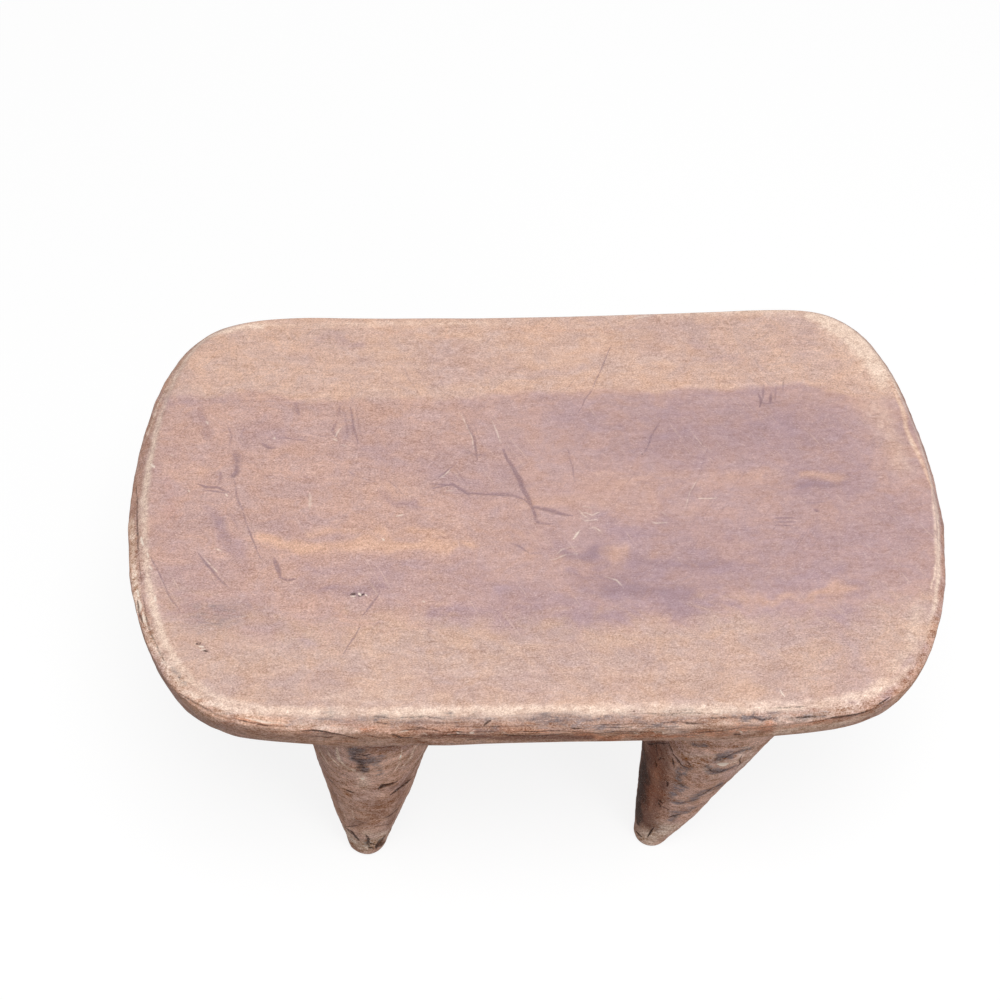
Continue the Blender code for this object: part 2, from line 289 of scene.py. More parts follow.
# Top: scratches, scrapes and shaded places from the left to the middle
TOP_LEFT_SCRATCHES = marks(
    (SCRATCH, 1.6, 0.85, (234, 474), (236, 492), (242, 510), (249, 532), (257, 550), (265, 567)),
    (SCRATCH, 1.2, 0.4, (240, 508), (250, 520), (256, 540)),
    (SCRATCH, 1.8, 1.1, (199, 553), (208, 566), (218, 578), (233, 593)),
    (SCRATCH, 1.2, 0.45, (206, 556), (222, 574), (236, 588), (262, 600)),
    (FLECK, 1.2, 0.55, (202, 554), (210, 564), (220, 576), (231, 589)),
    (SCRATCH, 1.6, 0.8, (151, 556), (166, 590), (181, 614)),
    (SCRATCH, 2.4, 1.1, (198, 484), (206, 487), (218, 487), (230, 492)),
    (SCRATCH, 1.8, 0.9, (203, 490), (216, 491), (228, 493)),
    (SCRATCH, 1.4, 0.45, (200, 481), (212, 484), (224, 484)),
    (SCRATCH, 1.4, 0.4, (208, 476), (204, 488), (199, 503)),
    (SCRATCH, 3, 0.4, (217, 512), (222, 528), (228, 545)),
    (SCRATCH, 2.4, 0.4, (231, 515), (236, 524), (240, 530)),
    (SCRATCH, 1.4, 0.35, (196, 530), (204, 518), (210, 506)),
    (SCRATCH, 1.5, 0.35, (350, 380), (353, 403)),
    (SCRATCH, 1.5, 0.3, (360, 408), (364, 424), (366, 440)),
    (SCRATCH, 1.5, 0.5, (400, 363), (410, 379), (420, 397)),
    (SCRATCH, 2.2, 0.3, (438, 370), (445, 393)),
    (SCRATCH, 1.5, 0.6, (340, 466), (355, 475), (377, 482)),
    (SCRATCH, 1.5, 0.65, (387, 479), (396, 487), (405, 496)),
    (SCRATCH, 1.5, 0.35, (366, 459), (370, 470), (368, 478)),
    (SCRATCH, 1.6, 1, (380, 592), (372, 603), (362, 617)),
    (SCRATCH, 1.6, 0.8, (362, 624), (352, 640), (343, 654)),
    (SCRATCH, 1.2, 0.45, (267, 440), (300, 437), (343, 440)),
    (SCRATCH, 1.2, 0.35, (257, 478), (290, 477), (332, 478)),
    (SCRATCH, 1.5, 0.45, (269, 385), (283, 387), (295, 388)),
    (SCRATCH, 1.5, 0.4, (248, 385), (256, 398)),
    (SCRATCH, 1.5, 0.4, (205, 403), (240, 400), (300, 403)),
    (SCRATCH, 1.5, 0.45, (397, 404), (430, 406)),
    (SCRATCH, 1.5, 0.4, (473, 406), (500, 408)),
    (SCRATCH, 2, 0.45, (302, 586), (325, 588), (350, 586), (382, 585)),
    (SCRATCH, 1.2, 0.35, (290, 540), (300, 536), (312, 545)),
    (SCRATCH, 1.6, 0.5, (430, 487), (440, 492), (460, 493), (487, 494)),
    (SCRATCH, 1.8, 0.85, (432, 484), (452, 484), (470, 496)),
    (SCRATCH, 1.8, 0.7, (458, 462), (446, 470), (436, 482)),
    (SCRATCH, 1.6, 0.6, (449, 464), (460, 474), (468, 484)),
    (FLECK, 1.4, 0.5, (438, 480), (445, 474), (450, 468)),
    (FLECK, 1.4, 0.5, (444, 490), (456, 490)),
    (FLECK, 1.4, 0.5, (334, 438), (338, 431), (342, 426)),
    (FLECK, 1.4, 0.5, (340, 444), (347, 446)),
    (SCRATCH, 1.4, 0.6, (462, 412), (472, 430), (477, 460)),
    (SCRATCH, 1.2, 0.4, (466, 410), (476, 428), (480, 458)),
    (FLECK, 1.4, 0.5, (459, 412), (469, 430), (474, 452)),
    (SCRATCH, 1.5, 0.2, (262, 610), (300, 650)),
    (SCRATCH, 1.5, 0.35, (170, 440), (182, 452), (196, 458)),
    (SCRATCH, 1.5, 0.3, (176, 520), (186, 546), (192, 570)),
    (FLECK, 4, 0.35, (310, 493), (311, 500), (310, 508)),
    (FLECK, 1.8, 0.8, (272, 439), (276, 438)),
    (FLECK, 1.4, 0.8, (330, 438), (337, 440)),
    (FLECK, 1.4, 1.2, (351, 596), (356, 596)),
    (FLECK, 1.4, 1.2, (358, 593), (362, 595)),
    (FLECK, 1.4, 1, (365, 595), (368, 596)),
    (FLECK, 1.4, 0.8, (206, 420), (208, 424)),
    (FLECK, 1.4, 0.7, (226, 493), (228, 496)),
    (FLECK, 1.8, 0.7, (382, 538), (385, 540)),
    (FLECK, 1.4, 0.7, (472, 446), (473, 449)),
    (FLECK, 1.8, 0.8, (170, 455), (173, 457)),
    (FLECK, 1.8, 0.8, (151, 464), (154, 468)),
    (FLECK, 1.4, 0.8, (188, 490), (190, 492)),
    (FLECK, 1.4, 0.6, (396, 516), (404, 514)),
    (FLECK, 1.6, 0.5, (214, 548), (222, 552)),
    (SHADE, 12, 0.35, (217, 515), (226, 535), (238, 552)),
    (SHADE, 10, 0.3, (342, 412), (352, 430), (362, 448)),
    (SHADE, 10, 0.3, (388, 495), (400, 500), (412, 503)),
    (SHADE, 8, 0.65, (470, 452), (480, 456)),
    (SHADE, 7, 0.35, (200, 408), (206, 425), (210, 438)),
    (SHADE, 8, 0.3, (310, 588), (345, 588), (380, 586)),
    (SHADE, 10, 0.25, (412, 455), (440, 462), (470, 480)),
    (GREY, 34, 0.34, (178, 606), (204, 616), (236, 618)),
)

# Top: scratches from the middle to the right
TOP_RIGHT_SCRATCHES = marks(
    (SCRATCH, 1.5, 0.35, (490, 423), (500, 443)),
    (SCRATCH, 1.5, 0.35, (460, 413), (466, 421)),
    (SCRATCH, 1.5, 0.7, (562, 444), (569, 450), (571, 464), (575, 482)),
    (SCRATCH, 1.5, 0.8, (613, 343), (601, 370), (590, 392), (578, 413)),
    (SCRATCH, 1.8, 0.8, (659, 422), (651, 436), (644, 453)),
    (SCRATCH, 1.5, 0.35, (709, 443), (697, 480), (683, 517)),
    (SCRATCH, 1.5, 0.25, (701, 468), (690, 495)),
    (SCRATCH, 1.5, 0.7, (784, 377), (783, 392)),
    (SCRATCH, 1.8, 0.8, (764, 383), (763, 399)),
    (SCRATCH, 1.8, 0.7, (776, 386), (775, 402)),
    (SCRATCH, 2.2, 0.7, (756, 401), (766, 404), (778, 402)),
    (SCRATCH, 1.8, 0.5, (708, 455), (716, 462)),
    (SCRATCH, 1.8, 0.5, (800, 500), (812, 503), (826, 501)),
    (SCRATCH, 1.5, 1, (774, 518), (796, 518)),
    (SCRATCH, 1.5, 0.8, (774, 522), (796, 522)),
    (SCRATCH, 1.5, 0.8, (773, 525), (793, 526)),
    (SCRATCH, 1.8, 0.9, (506, 541), (518, 545), (530, 553), (546, 564)),
    (SCRATCH, 1.5, 0.3, (546, 564), (553, 581), (559, 597)),
    (SCRATCH, 1.5, 0.25, (518, 560), (560, 575), (620, 570)),
    (SCRATCH, 1.5, 0.25, (613, 648), (625, 690)),
    (SCRATCH, 1.5, 0.25, (668, 620), (676, 632)),
    (SCRATCH, 1.5, 0.25, (455, 545), (474, 560), (490, 572)),
)

# Top: pale flecks and scrapes
TOP_FLECKS = marks(
    (FLECK, 1.2, 0.55, (696, 498), (718, 498)),
    (FLECK, 1.4, 0.5, (549, 561), (566, 554), (579, 553)),
    (FLECK, 1.4, 0.4, (552, 557), (562, 549), (578, 546)),
    (FLECK, 1.4, 0.5, (606, 576), (617, 580), (624, 588)),
    (FLECK, 1.4, 0.55, (577, 508), (583, 515), (590, 519)),
    (FLECK, 1.4, 0.5, (582, 506), (590, 508), (598, 507)),
    (FLECK, 1.4, 0.5, (583, 512), (592, 515), (600, 512)),
    (FLECK, 1.4, 0.45, (576, 516), (586, 521), (598, 519)),
    (FLECK, 1.8, 0.6, (580, 530), (576, 535), (573, 540)),
    (FLECK, 1.4, 0.55, (587, 529), (595, 527), (602, 532)),
    (FLECK, 1.4, 0.5, (648, 520), (656, 523), (668, 522)),
    (FLECK, 1.4, 0.4, (660, 511), (668, 516)),
    (FLECK, 1.2, 0.4, (700, 474), (690, 492), (683, 515)),
    (FLECK, 1.4, 0.45, (490, 417), (496, 430), (501, 446)),
    (FLECK, 1.4, 0.7, (780, 690), (785, 697)),
    (FLECK, 1.4, 0.7, (422, 601), (425, 602)),
    (FLECK, 2.6, 0.45, (628, 320), (640, 317), (652, 316)),
)

# Top: stains, mostly violet
TOP_STAINS = marks(
    (VIOLET, 70, 0.5, (590, 435), (740, 430), (820, 428)),
    (VIOLET, 80, 0.45, (640, 560), (740, 545), (860, 540)),
    (VIOLET, 50, 0.3, (480, 480), (560, 500), (640, 500)),
    (VIOLET, 50, 0.4, (385, 445), (430, 465), (480, 480)),
    (VIOLET, 26, 0.45, (300, 572), (370, 572), (470, 575)),
    (VIOLET, 30, 0.3, (165, 480), (166, 530), (175, 575)),
    (VIOLET, 50, 0.25, (640, 640), (720, 650), (800, 640)),
    (VIOLET, 30, 0.5, (570, 425), (700, 415), (830, 412)),
    (VIOLET, 50, 0.2, (600, 500), (740, 505), (880, 500)),
    (VIOLET, 12, 0.55, (926, 640), (906, 675), (880, 698)),
    (VIOLET, 12, 0.8, (590, 552), (604, 560), (598, 572)),
    (VIOLET, 10, 0.7, (566, 574), (600, 578), (640, 572)),
    (VIOLET, 30, 0.45, (600, 455), (720, 450), (830, 450)),
    (VIOLET, 44, 0.6, (790, 470), (822, 470), (846, 478)),
    (VIOLET, 20, 0.7, (796, 482), (822, 484), (842, 486)),
    (VIOLET, 22, 0.5, (640, 540), (700, 545), (760, 530)),
    (VIOLET, 40, 0.75, (615, 556), (690, 562), (750, 566)),
    (VIOLET, 36, 0.95, (596, 584), (640, 589), (700, 592)),
    (VIOLET, 16, 0.6, (610, 590), (640, 594), (690, 600)),
    (VIOLET, 12, 0.75, (556, 552), (580, 556), (606, 548)),
    (VIOLET, 14, 0.6, (575, 572), (610, 580)),
    (SHADE, 9, 0.5, (556, 552), (584, 557), (606, 549)),
    (SHADE, 10, 0.45, (600, 586), (640, 592), (690, 595)),
    (SHADE, 8, 0.4, (570, 574), (596, 579), (640, 574)),
    (SHADE, 6, 0.4, (640, 560), (670, 566), (720, 562)),
    (SHADE, 7, 0.5, (798, 484), (822, 486), (840, 484)),
    (SHADE, 6, 0.4, (800, 470), (815, 468)),
    (SHADE, 6, 0.35, (340, 590), (352, 592), (376, 590)),
    (SHADE, 5, 0.4, (214, 512), (220, 530), (232, 548)),
    (SHADE, 6, 0.3, (340, 432), (352, 440), (362, 452)),
    (RUST, 7, 0.3, (500, 330), (560, 327), (610, 332)),
    (RUST, 16, 0.22, (164, 478), (172, 496), (170, 512)),
    (EMBER, 14, 0.45, (166, 470), (182, 482), (196, 476)),
    (RUST, 6, 0.25, (350, 336), (400, 333), (450, 338)),
    (VIOLET, 24, 0.5, (500, 595), (560, 600), (620, 604)),
    (VIOLET, 24, 0.6, (430, 610), (520, 613), (640, 614)),
    (VIOLET, 26, 0.5, (700, 580), (770, 578), (840, 576)),
    (VIOLET, 22, 0.6, (600, 526), (640, 532), (680, 530)),
    (VIOLET, 12, 0.6, (668, 505), (672, 525), (676, 545)),
    (VIOLET, 50, 0.4, (835, 625), (858, 655), (850, 690)),
    (VIOLET, 22, 0.5, (705, 552), (745, 552), (785, 550)),
    (VIOLET, 30, 0.4, (700, 352), (722, 354), (744, 358)),
    (EMBER, 30, 0.45, (872, 410), (886, 432), (894, 460)),
    (PALE, 30, 0.3, (876, 412), (890, 436), (900, 462)),
    (VIOLET, 18, 0.55, (700, 605), (780, 598), (860, 590)),
    (VIOLET, 14, 0.65, (300, 580), (330, 590), (380, 588)),
    (VIOLET, 18, 0.4, (370, 575), (430, 572), (480, 580)),
    (VIOLET, 14, 0.55, (212, 512), (226, 540), (244, 566)),
    (VIOLET, 10, 0.5, (385, 497), (400, 500), (415, 505)),
    (VIOLET, 14, 0.35, (400, 455), (440, 470), (480, 480)),
    (VIOLET, 10, 0.4, (200, 412), (201, 436)),
    (VIOLET, 14, 0.35, (260, 430), (330, 455), (350, 430)),
    (VIOLET, 18, 0.45, (330, 340), (345, 345), (365, 342)),
    (VIOLET, 10, 0.35, (610, 330), (640, 328), (660, 331)),
    (VIOLET, 12, 0.3, (720, 345), (780, 350), (830, 365)),
    (VIOLET, 50, 0.25, (860, 500), (880, 540), (880, 580)),
    (VIOLET, 36, 0.45, (175, 610), (210, 618), (250, 618)),
    (VIOLET, 20, 0.4, (305, 640), (335, 641)),
)

# Top: orange-tan streaks
TOP_STREAKS = marks(
    (EMBER, 12, 0.95, (262, 540), (310, 546), (360, 543), (420, 545), (468, 541)),
    (EMBER, 8, 0.7, (310, 532), (360, 530), (440, 532)),
    (EMBER, 12, 0.6, (608, 556), (622, 552)),
    (EMBER, 12, 0.7, (740, 600), (800, 597), (850, 590)),
    (EMBER, 8, 0.7, (802, 475), (820, 474), (838, 478)),
    (EMBER, 14, 0.45, (590, 350), (660, 345), (700, 348)),
    (EMBER, 12, 0.45, (560, 390), (640, 388), (720, 380)),
    (EMBER, 14, 0.4, (520, 505), (600, 500), (690, 512)),
    (EMBER, 14, 0.35, (230, 350), (300, 345), (330, 362)),
    (EMBER, 12, 0.35, (600, 480), (700, 472), (760, 480)),
    (EMBER, 16, 0.3, (480, 690), (620, 693), (760, 680)),
)

# Rubbed rim, pale with wear and painted highlights: its corners, ends and front edge
RUBBED_RIM_AND_HIGHLIGHTS = marks(
    (PALE, 16, 0.95, (826, 322), (850, 336), (868, 354), (882, 378)),
    (PALE, 28, 0.25, (836, 332), (856, 350), (874, 378)),
    (PALE, 16, 0.3, (322, 697), (360, 695), (402, 694)),
    (EMBER, 4.4, 0.9, (886, 377), (894, 388), (902, 409), (907, 431), (916, 450), (925, 468), (931, 486)),
    (PALE, 4, 0.5, (886, 377), (894, 388), (902, 409), (907, 431), (916, 450), (925, 468), (931, 486)),
    (PALE, 3.2, 0.65, (931, 486), (935, 520), (936, 560), (931, 590)),
    (UMBER, 4.4, 0.45, (894, 378), (904, 395), (911, 413), (918, 432), (926, 451), (933, 470), (938, 492)),
    (PALE, 10, 1.2, (812, 315), (832, 321), (852, 333), (868, 349), (884, 375)),
    (FLECK, 1.6, 0.5, (909, 441), (914, 447)),
    (FLECK, 1.6, 0.6, (926, 466), (929, 471)),
    (PALE, 12, 0.4, (920, 606), (910, 648), (894, 670)),
    (PALE, 9, 0.55, (884, 683), (862, 696), (826, 704)),
    (PALE, 7, 0.8, (150, 402), (166, 374), (186, 352), (208, 338), (236, 328), (262, 325)),
    (PALE, 6, 0.35, (262, 325), (400, 323), (540, 323)),
    (PALE, 5, 0.35, (660, 317), (740, 314), (810, 316)),
    (PALE, 10, 0.45, (141, 500), (143, 540), (147, 570), (152, 600)),
    (FLECK, 2, 0.9, (141, 536), (142, 540), (144, 545)),
    (FLECK, 1.8, 0.8, (147, 552), (149, 557)),
    (FLECK, 1.8, 0.7, (150, 566), (152, 570)),
    (FLECK, 2, 0.7, (155, 596), (157, 602)),
    (PALE, 8, 0.6, (143, 620), (160, 658), (186, 690), (222, 708), (262, 714)),
    (PALE, 6, 0.4, (262, 712), (400, 709), (560, 707), (700, 706), (820, 702)),
    (PALE, 4, 0.5, (146, 440), (156, 410), (172, 378)),
)

# Front rim: cracks and rust along the brow
FRONT_BROW = marks(
    (LINE, 2, 0.5, (180, 694), (200, 706), (215, 714), (235, 720)),
    (CRACK, 1.8, 0.55, (233, 720), (246, 722), (268, 725), (288, 727)),
    (ADZE_CUT, 1.7, 0.85, (300, 731), (312, 730), (325, 732), (345, 736), (358, 739)),
    (SPLIT, 4, 0.65, (318, 736), (326, 738), (333, 737)),
    (ADZE_CUT, 1.6, 0.6, (432, 734), (455, 732), (480, 733), (505, 732)),
    (ADZE_CUT, 1.6, 0.6, (510, 731), (540, 732), (560, 731), (585, 733)),
    (SPLIT, 1.6, 0.55, (650, 735), (690, 733), (720, 731)),
    (SPLIT, 1.7, 0.35, (796, 726), (812, 722), (830, 719), (850, 717)),
    (SPLIT, 4, 0.8, (734, 734), (740, 735)),
    (RUST, 4, 0.6, (236, 719), (256, 722), (284, 725)),
    (RUST, 6, 0.4, (296, 733), (303, 731), (312, 730)),
    (RUST, 5, 0.7, (362, 730), (370, 730)),
    (RUST, 7, 0.45, (394, 737), (410, 734), (432, 732)),
    (RUST, 7, 0.5, (440, 732), (480, 732), (520, 732), (560, 731), (585, 734)),
    (RUST, 14, 1, (585, 736), (600, 738), (618, 739)),
    (RUST, 12, 0.75, (635, 735), (665, 737), (690, 736), (720, 733), (745, 730), (768, 729)),
    (RUST, 6, 0.35, (440, 737), (500, 736), (560, 735)),
    (RUST, 8, 0.45, (776, 730), (800, 726), (825, 722), (850, 718), (868, 714)),
    (RUST, 8, 0.25, (790, 732), (830, 728), (862, 719)),
    (PALE, 12, 0.3, (640, 732), (700, 732), (760, 728)),
    (LINE, 1.8, 0.6, (700, 733), (722, 731), (742, 728)),
    (LINE, 1.8, 0.6, (600, 732), (625, 734), (650, 735)),
    (LINE, 3, 0.7, (392, 734), (402, 738), (412, 737)),
    (LINE, 1.6, 0.5, (400, 731), (425, 729), (440, 731)),
    (UMBER, 9, 0.95, (500, 738), (520, 738), (545, 737), (575, 738), (590, 738)),
    (UMBER, 8, 0.85, (425, 736), (460, 737), (500, 738)),
    (UMBER, 6, 0.55, (296, 735), (306, 736), (316, 736)),
    (UMBER, 10, 0.45, (190, 712), (230, 727), (290, 737)),
    (UMBER, 7, 0.35, (620, 731), (690, 730), (740, 727)),
    (UMBER, 7, 0.5, (755, 733), (768, 731)),
    (UMBER, 4, 0.3, (790, 724), (820, 719), (858, 715)),
    # Lighter lower right end of the front band: warmer wood with painted light
    (EMBER, 12, 1, (760, 735), (780, 731), (820, 727), (862, 718)),
    (PALE, 16, 0.5, (750, 738), (780, 732), (820, 727), (862, 718)),
    (PALE, 12, 0.42, (770, 722), (800, 719), (830, 714), (860, 706)),
    (UMBER, 6, 0.45, (325, 734), (350, 738), (366, 741)),
    (EMBER, 5, 0.9, (240, 717), (262, 720), (285, 723)),
    (FLECK, 2.2, 0.6, (245, 718), (262, 721), (284, 724)),
    (FLECK, 2.2, 0.8, (470, 732), (475, 734)),
    (FLECK, 1.6, 0.6, (560, 733), (564, 736), (570, 736)),
    (FLECK, 1.3, 0.6, (653, 731), (657, 734)),
    (FLECK, 1.3, 0.6, (657, 734), (661, 730)),
    (FLECK, 1.3, 0.6, (650, 736), (655, 735)),
    (FLECK, 1.3, 0.6, (446, 734), (452, 735)),
    (FLECK, 1.3, 0.6, (458, 733), (462, 735)),
    (FLECK, 1.3, 0.6, (424, 731), (427, 735)),
    (FLECK, 1.3, 0.6, (662, 730), (664, 734)),
    (FLECK, 1.3, 0.5, (668, 734), (674, 735)),
    (FLECK, 1.8, 0.8, (740, 731), (742, 733)),
    (FLECK, 1.2, 0.5, (486, 733), (492, 734)),
    (FLECK, 1.2, 0.5, (502, 732), (509, 733)),
    (FLECK, 1.2, 0.5, (520, 735), (527, 734)),
    (FLECK, 1.2, 0.5, (538, 733), (545, 734)),
    (FLECK, 1.4, 0.6, (551, 736), (556, 737)),
    (FLECK, 1.3, 0.5, (634, 733), (638, 735)),
    (FLECK, 1.2, 0.45, (398, 732), (408, 731)),
    (FLECK, 1.2, 0.45, (420, 733), (428, 733)),
    (FLECK, 1.4, 0.6, (270, 722), (286, 725)),
    (LINE, 2.2, 0.7, (500, 734), (515, 736), (530, 736)),
    (LINE, 2, 0.7, (536, 737), (552, 734), (566, 737)),
    (LINE, 2, 0.6, (574, 734), (590, 733), (606, 735)),
    (LINE, 1.8, 0.7, (606, 731), (640, 733), (664, 732)),
    (LINE, 1.8, 0.5, (664, 736), (684, 735), (704, 736)),
    (LINE, 2, 0.6, (440, 736), (462, 735), (486, 737)),
    (LINE, 2, 0.5, (366, 735), (378, 738), (390, 738)),
    (LINE, 2.6, 0.75, (826, 719), (840, 717), (858, 714), (872, 710)),
    (LINE, 1.8, 0.6, (740, 730), (760, 728), (784, 725)),
    (LINE, 1.8, 0.6, (868, 711), (880, 704), (890, 697)),
    (PALE, 6, 0.35, (296, 726), (330, 728), (356, 731)),
    (PALE, 6, 0.3, (620, 728), (680, 727), (740, 724), (776, 722)),
)

# Front rim: grey streaks and fine cracks on the upper band
FRONT_UPPER_BAND = marks(
    (GREY, 12, 0.42, (300, 724), (370, 724), (440, 725), (500, 725)),
    (GREY, 14, 0.48, (540, 724), (620, 722), (690, 720), (740, 719)),
    (GREY, 12, 0.42, (740, 721), (790, 718), (830, 714)),
    (UMBER, 10, 0.22, (320, 722), (420, 724), (520, 724), (620, 722), (720, 720), (820, 714)),
    (RUST, 10, 0.3, (330, 728), (400, 727), (470, 727)),
    (GREY, 9, 0.75, (530, 722), (548, 719), (560, 722), (580, 727)),
    (GREY, 7, 0.35, (500, 722), (530, 722)),
    (GREY, 5, 0.95, (742, 715), (758, 718), (774, 718)),
    (GREY, 6, 0.35, (600, 722), (640, 718)),
    (GREY, 6, 0.5, (376, 718), (450, 718), (530, 718), (612, 717)),
    (UMBER, 6, 0.3, (490, 727), (530, 728), (560, 729)),
    (CRACK, 2, 0.55, (742, 714), (752, 717), (762, 720), (776, 718)),
    (FINE_LINE, 1.5, 0.4, (590, 716), (640, 714), (700, 713)),
    (FINE_LINE, 1.5, 0.35, (520, 717), (560, 716), (590, 717)),
    (FINE_LINE, 1.5, 0.4, (600, 728), (640, 727), (690, 728)),
    (FINE_LINE, 1.8, 0.5, (700, 718), (730, 717), (748, 719)),
    (LINE, 2, 0.5, (520, 720), (545, 719), (562, 723)),
    (HAIRLINE, 1.3, 0.3, (250, 713), (280, 716), (310, 717)),
    (SPLIT, 2, 0.7, (556, 727), (570, 729), (583, 729)),
    (LINE, 2, 0.7, (484, 726), (488, 722), (491, 720)),
    (LINE, 1.4, 0.38, (353, 716), (378, 717), (400, 719)),
    (LINE, 1.5, 0.4, (392, 717), (420, 717), (450, 719)),
    (LINE, 1.5, 0.5, (372, 722), (390, 724), (402, 726)),
    (LINE, 1.5, 0.4, (404, 723), (440, 723), (478, 722)),
    (LINE, 1.8, 0.5, (410, 728), (424, 728), (430, 730)),
    (LINE, 1.5, 0.4, (450, 727), (490, 727), (520, 725)),
    (LINE, 1.5, 0.45, (590, 725), (630, 724), (664, 725)),
    (LINE, 1.5, 0.45, (650, 715), (690, 714), (724, 713)),
    (LINE, 1.8, 0.55, (660, 722), (690, 723), (710, 724)),
    (LINE, 1.8, 0.6, (786, 719), (806, 718), (826, 715)),
    (LINE, 1.5, 0.5, (768, 709), (790, 708), (807, 707)),
    (HAIRLINE, 1.3, 0.3, (300, 720), (306, 715), (312, 712)),
)

# Left end: a dark line under the rubbed edge, scuffs and a grey patch
LEFT_END = marks(
    (LINE, 2, 0.55, (136, 480), (137, 520), (140, 570)),
    (LINE, 1.8, 0.45, (140, 570), (147, 622), (160, 655), (180, 686)),
    (PALE, 6, 0.9, (131, 470), (131, 520), (134, 570), (138, 610)),
    (EMBER, 8, 0.6, (131, 460), (131, 520), (135, 580), (142, 620)),
    (RUST, 5, 0.45, (129, 450), (129, 520), (132, 570)),
    (FLECK, 2.4, 0.8, (139, 600), (141, 606), (140, 612)),
    (FLECK, 2.2, 0.7, (143, 612), (144, 620), (147, 626)),
    (FLECK, 2.2, 0.7, (137, 588), (139, 596)),
    (CRACK, 2.6, 0.6, (137, 600), (139, 612), (143, 624)),
    (GREY, 7, 0.55, (172, 668), (181, 682)),
)

SEAT_MARKS = [
    *TOP_GOUGES,
    *TOP_LEFT_SCRATCHES,
    *TOP_RIGHT_SCRATCHES,
    *TOP_FLECKS,
    *TOP_STAINS,
    *TOP_STREAKS,
    *RUBBED_RIM_AND_HIGHLIGHTS,
    *FRONT_BROW,
    *FRONT_UPPER_BAND,
    *LEFT_END,
]

# Left leg: grey brushed patch under the seat, and painted shade just under the seat's edge
LEFT_LEG_PATCH_AND_SHADOW = marks(
    (GREY, 14, 1.1, (361, 754), (362, 770)),
    (SOOT_AND_SHADE, 9, 0.5, (361, 757), (362, 770)),
    (GREY, 9, 0.6, (377, 757), (378, 768)),
    (GREY, 6, 0.6, (374, 770), (379, 773)),
    # Painted shade just under the seat's edge
    (UMBER, 14, 0.35, (350, 748), (376, 750), (400, 749)),
    (GREY, 5, 0.35, (372, 775), (378, 778)),
    (LINE, 2, 0.75, (350, 754), (357, 755), (364, 756), (374, 754)),
    (FINE_LINE, 1.6, 0.5, (355, 757), (364, 758), (383, 755)),
    (LINE, 2, 0.7, (352, 759), (360, 760), (372, 759)),
    (FINE_LINE, 1.8, 0.55, (355, 762), (364, 763), (382, 762)),
    (LINE, 2.2, 0.6, (355, 765), (362, 765), (369, 764)),
    (LINE, 2.6, 0.7, (356, 768), (362, 768), (367, 767)),
    (FINE_LINE, 1.8, 0.65, (356, 772), (362, 771), (369, 772)),
    # Painted shadow line just under the seat's edge
    (LINE, 1.8, 0.65, (352, 746), (372, 748), (392, 747), (414, 744)),
)

# Left leg: pale rings round the patch
LEFT_LEG_RINGS = marks(
    (PALE, 2.6, 1.25, (336, 748), (339, 759), (346, 767), (354, 771)),
    (PALE, 3.8, 1.6, (347, 768), (351, 770), (355, 771)),
    (PALE, 2.4, 0.85, (318, 746), (323, 756), (331, 768)),
    (PALE, 2.2, 0.75, (325, 746), (331, 757), (341, 768)),
    (PALE, 2.2, 0.9, (313, 746), (318, 757), (325, 768)),
    (PALE, 2.4, 0.8, (416, 746), (411, 757), (402, 768)),
    (PALE, 2.2, 0.9, (425, 748), (419, 761), (411, 770)),
    (PALE, 2.2, 0.8, (402, 750), (401, 761), (396, 770)),
    (PALE, 1.8, 0.45, (346, 804), (352, 811), (354, 820)),
    (PALE, 1.6, 0.4, (338, 800), (344, 812), (347, 822)),
    (PALE, 10, 0.5, (361, 776), (364, 788)),
    (RUST, 12, 0.3, (322, 765), (336, 800), (344, 820)),
)

# Left leg: cracks
LEFT_LEG_CRACKS = marks(
    (ADZE_CUT, 4.2, 1.1, (379, 789), (383, 785), (390, 784), (397, 781)),
    (ADZE_CUT, 4.5, 1.15, (391, 793), (398, 788), (404, 784), (413, 777)),
    (ADZE_CUT, 3.4, 1, (384, 817), (390, 814), (394, 811), (398, 807)),
    (UMBER, 8, 0.55, (393, 786), (404, 782), (410, 778)),
    (UMBER, 12, 0.5, (402, 790), (394, 808), (388, 824)),
    (UMBER, 9, 0.45, (350, 824), (360, 822), (368, 820)),
    (UMBER, 20, 0.35, (352, 808), (364, 812), (380, 814)),
    (SOOT_AND_SHADE, 5, 0.7, (349, 830), (354, 835), (358, 838)),
    (SOOT_AND_SHADE, 8, 0.45, (368, 838), (371, 846)),
    (SOOT_AND_SHADE, 7, 0.6, (384, 836), (378, 846)),
    (UMBER, 10, 0.3, (326, 775), (334, 795), (342, 815)),
    (ADZE_CUT, 3, 1.1, (327, 777), (334, 783)),
    (ADZE_CUT, 2.2, 0.7, (331, 789), (338, 796)),
    (ADZE_CUT, 3.2, 1.1, (343, 788), (348, 791), (353, 793)),
    (ADZE_CUT, 1.8, 0.6, (347, 802), (351, 804), (355, 806)),
    (LINE, 1.8, 0.6, (344, 825), (352, 826), (362, 824)),
    (LINE, 1.8, 0.6, (372, 826), (382, 825), (391, 823)),
    (LINE, 1.8, 0.5, (386, 819), (392, 816)),
    (SOOT_AND_SHADE, 6, 0.35, (355, 820), (363, 823)),
    (SOOT_AND_SHADE, 6, 0.25, (380, 805), (372, 806)),
)

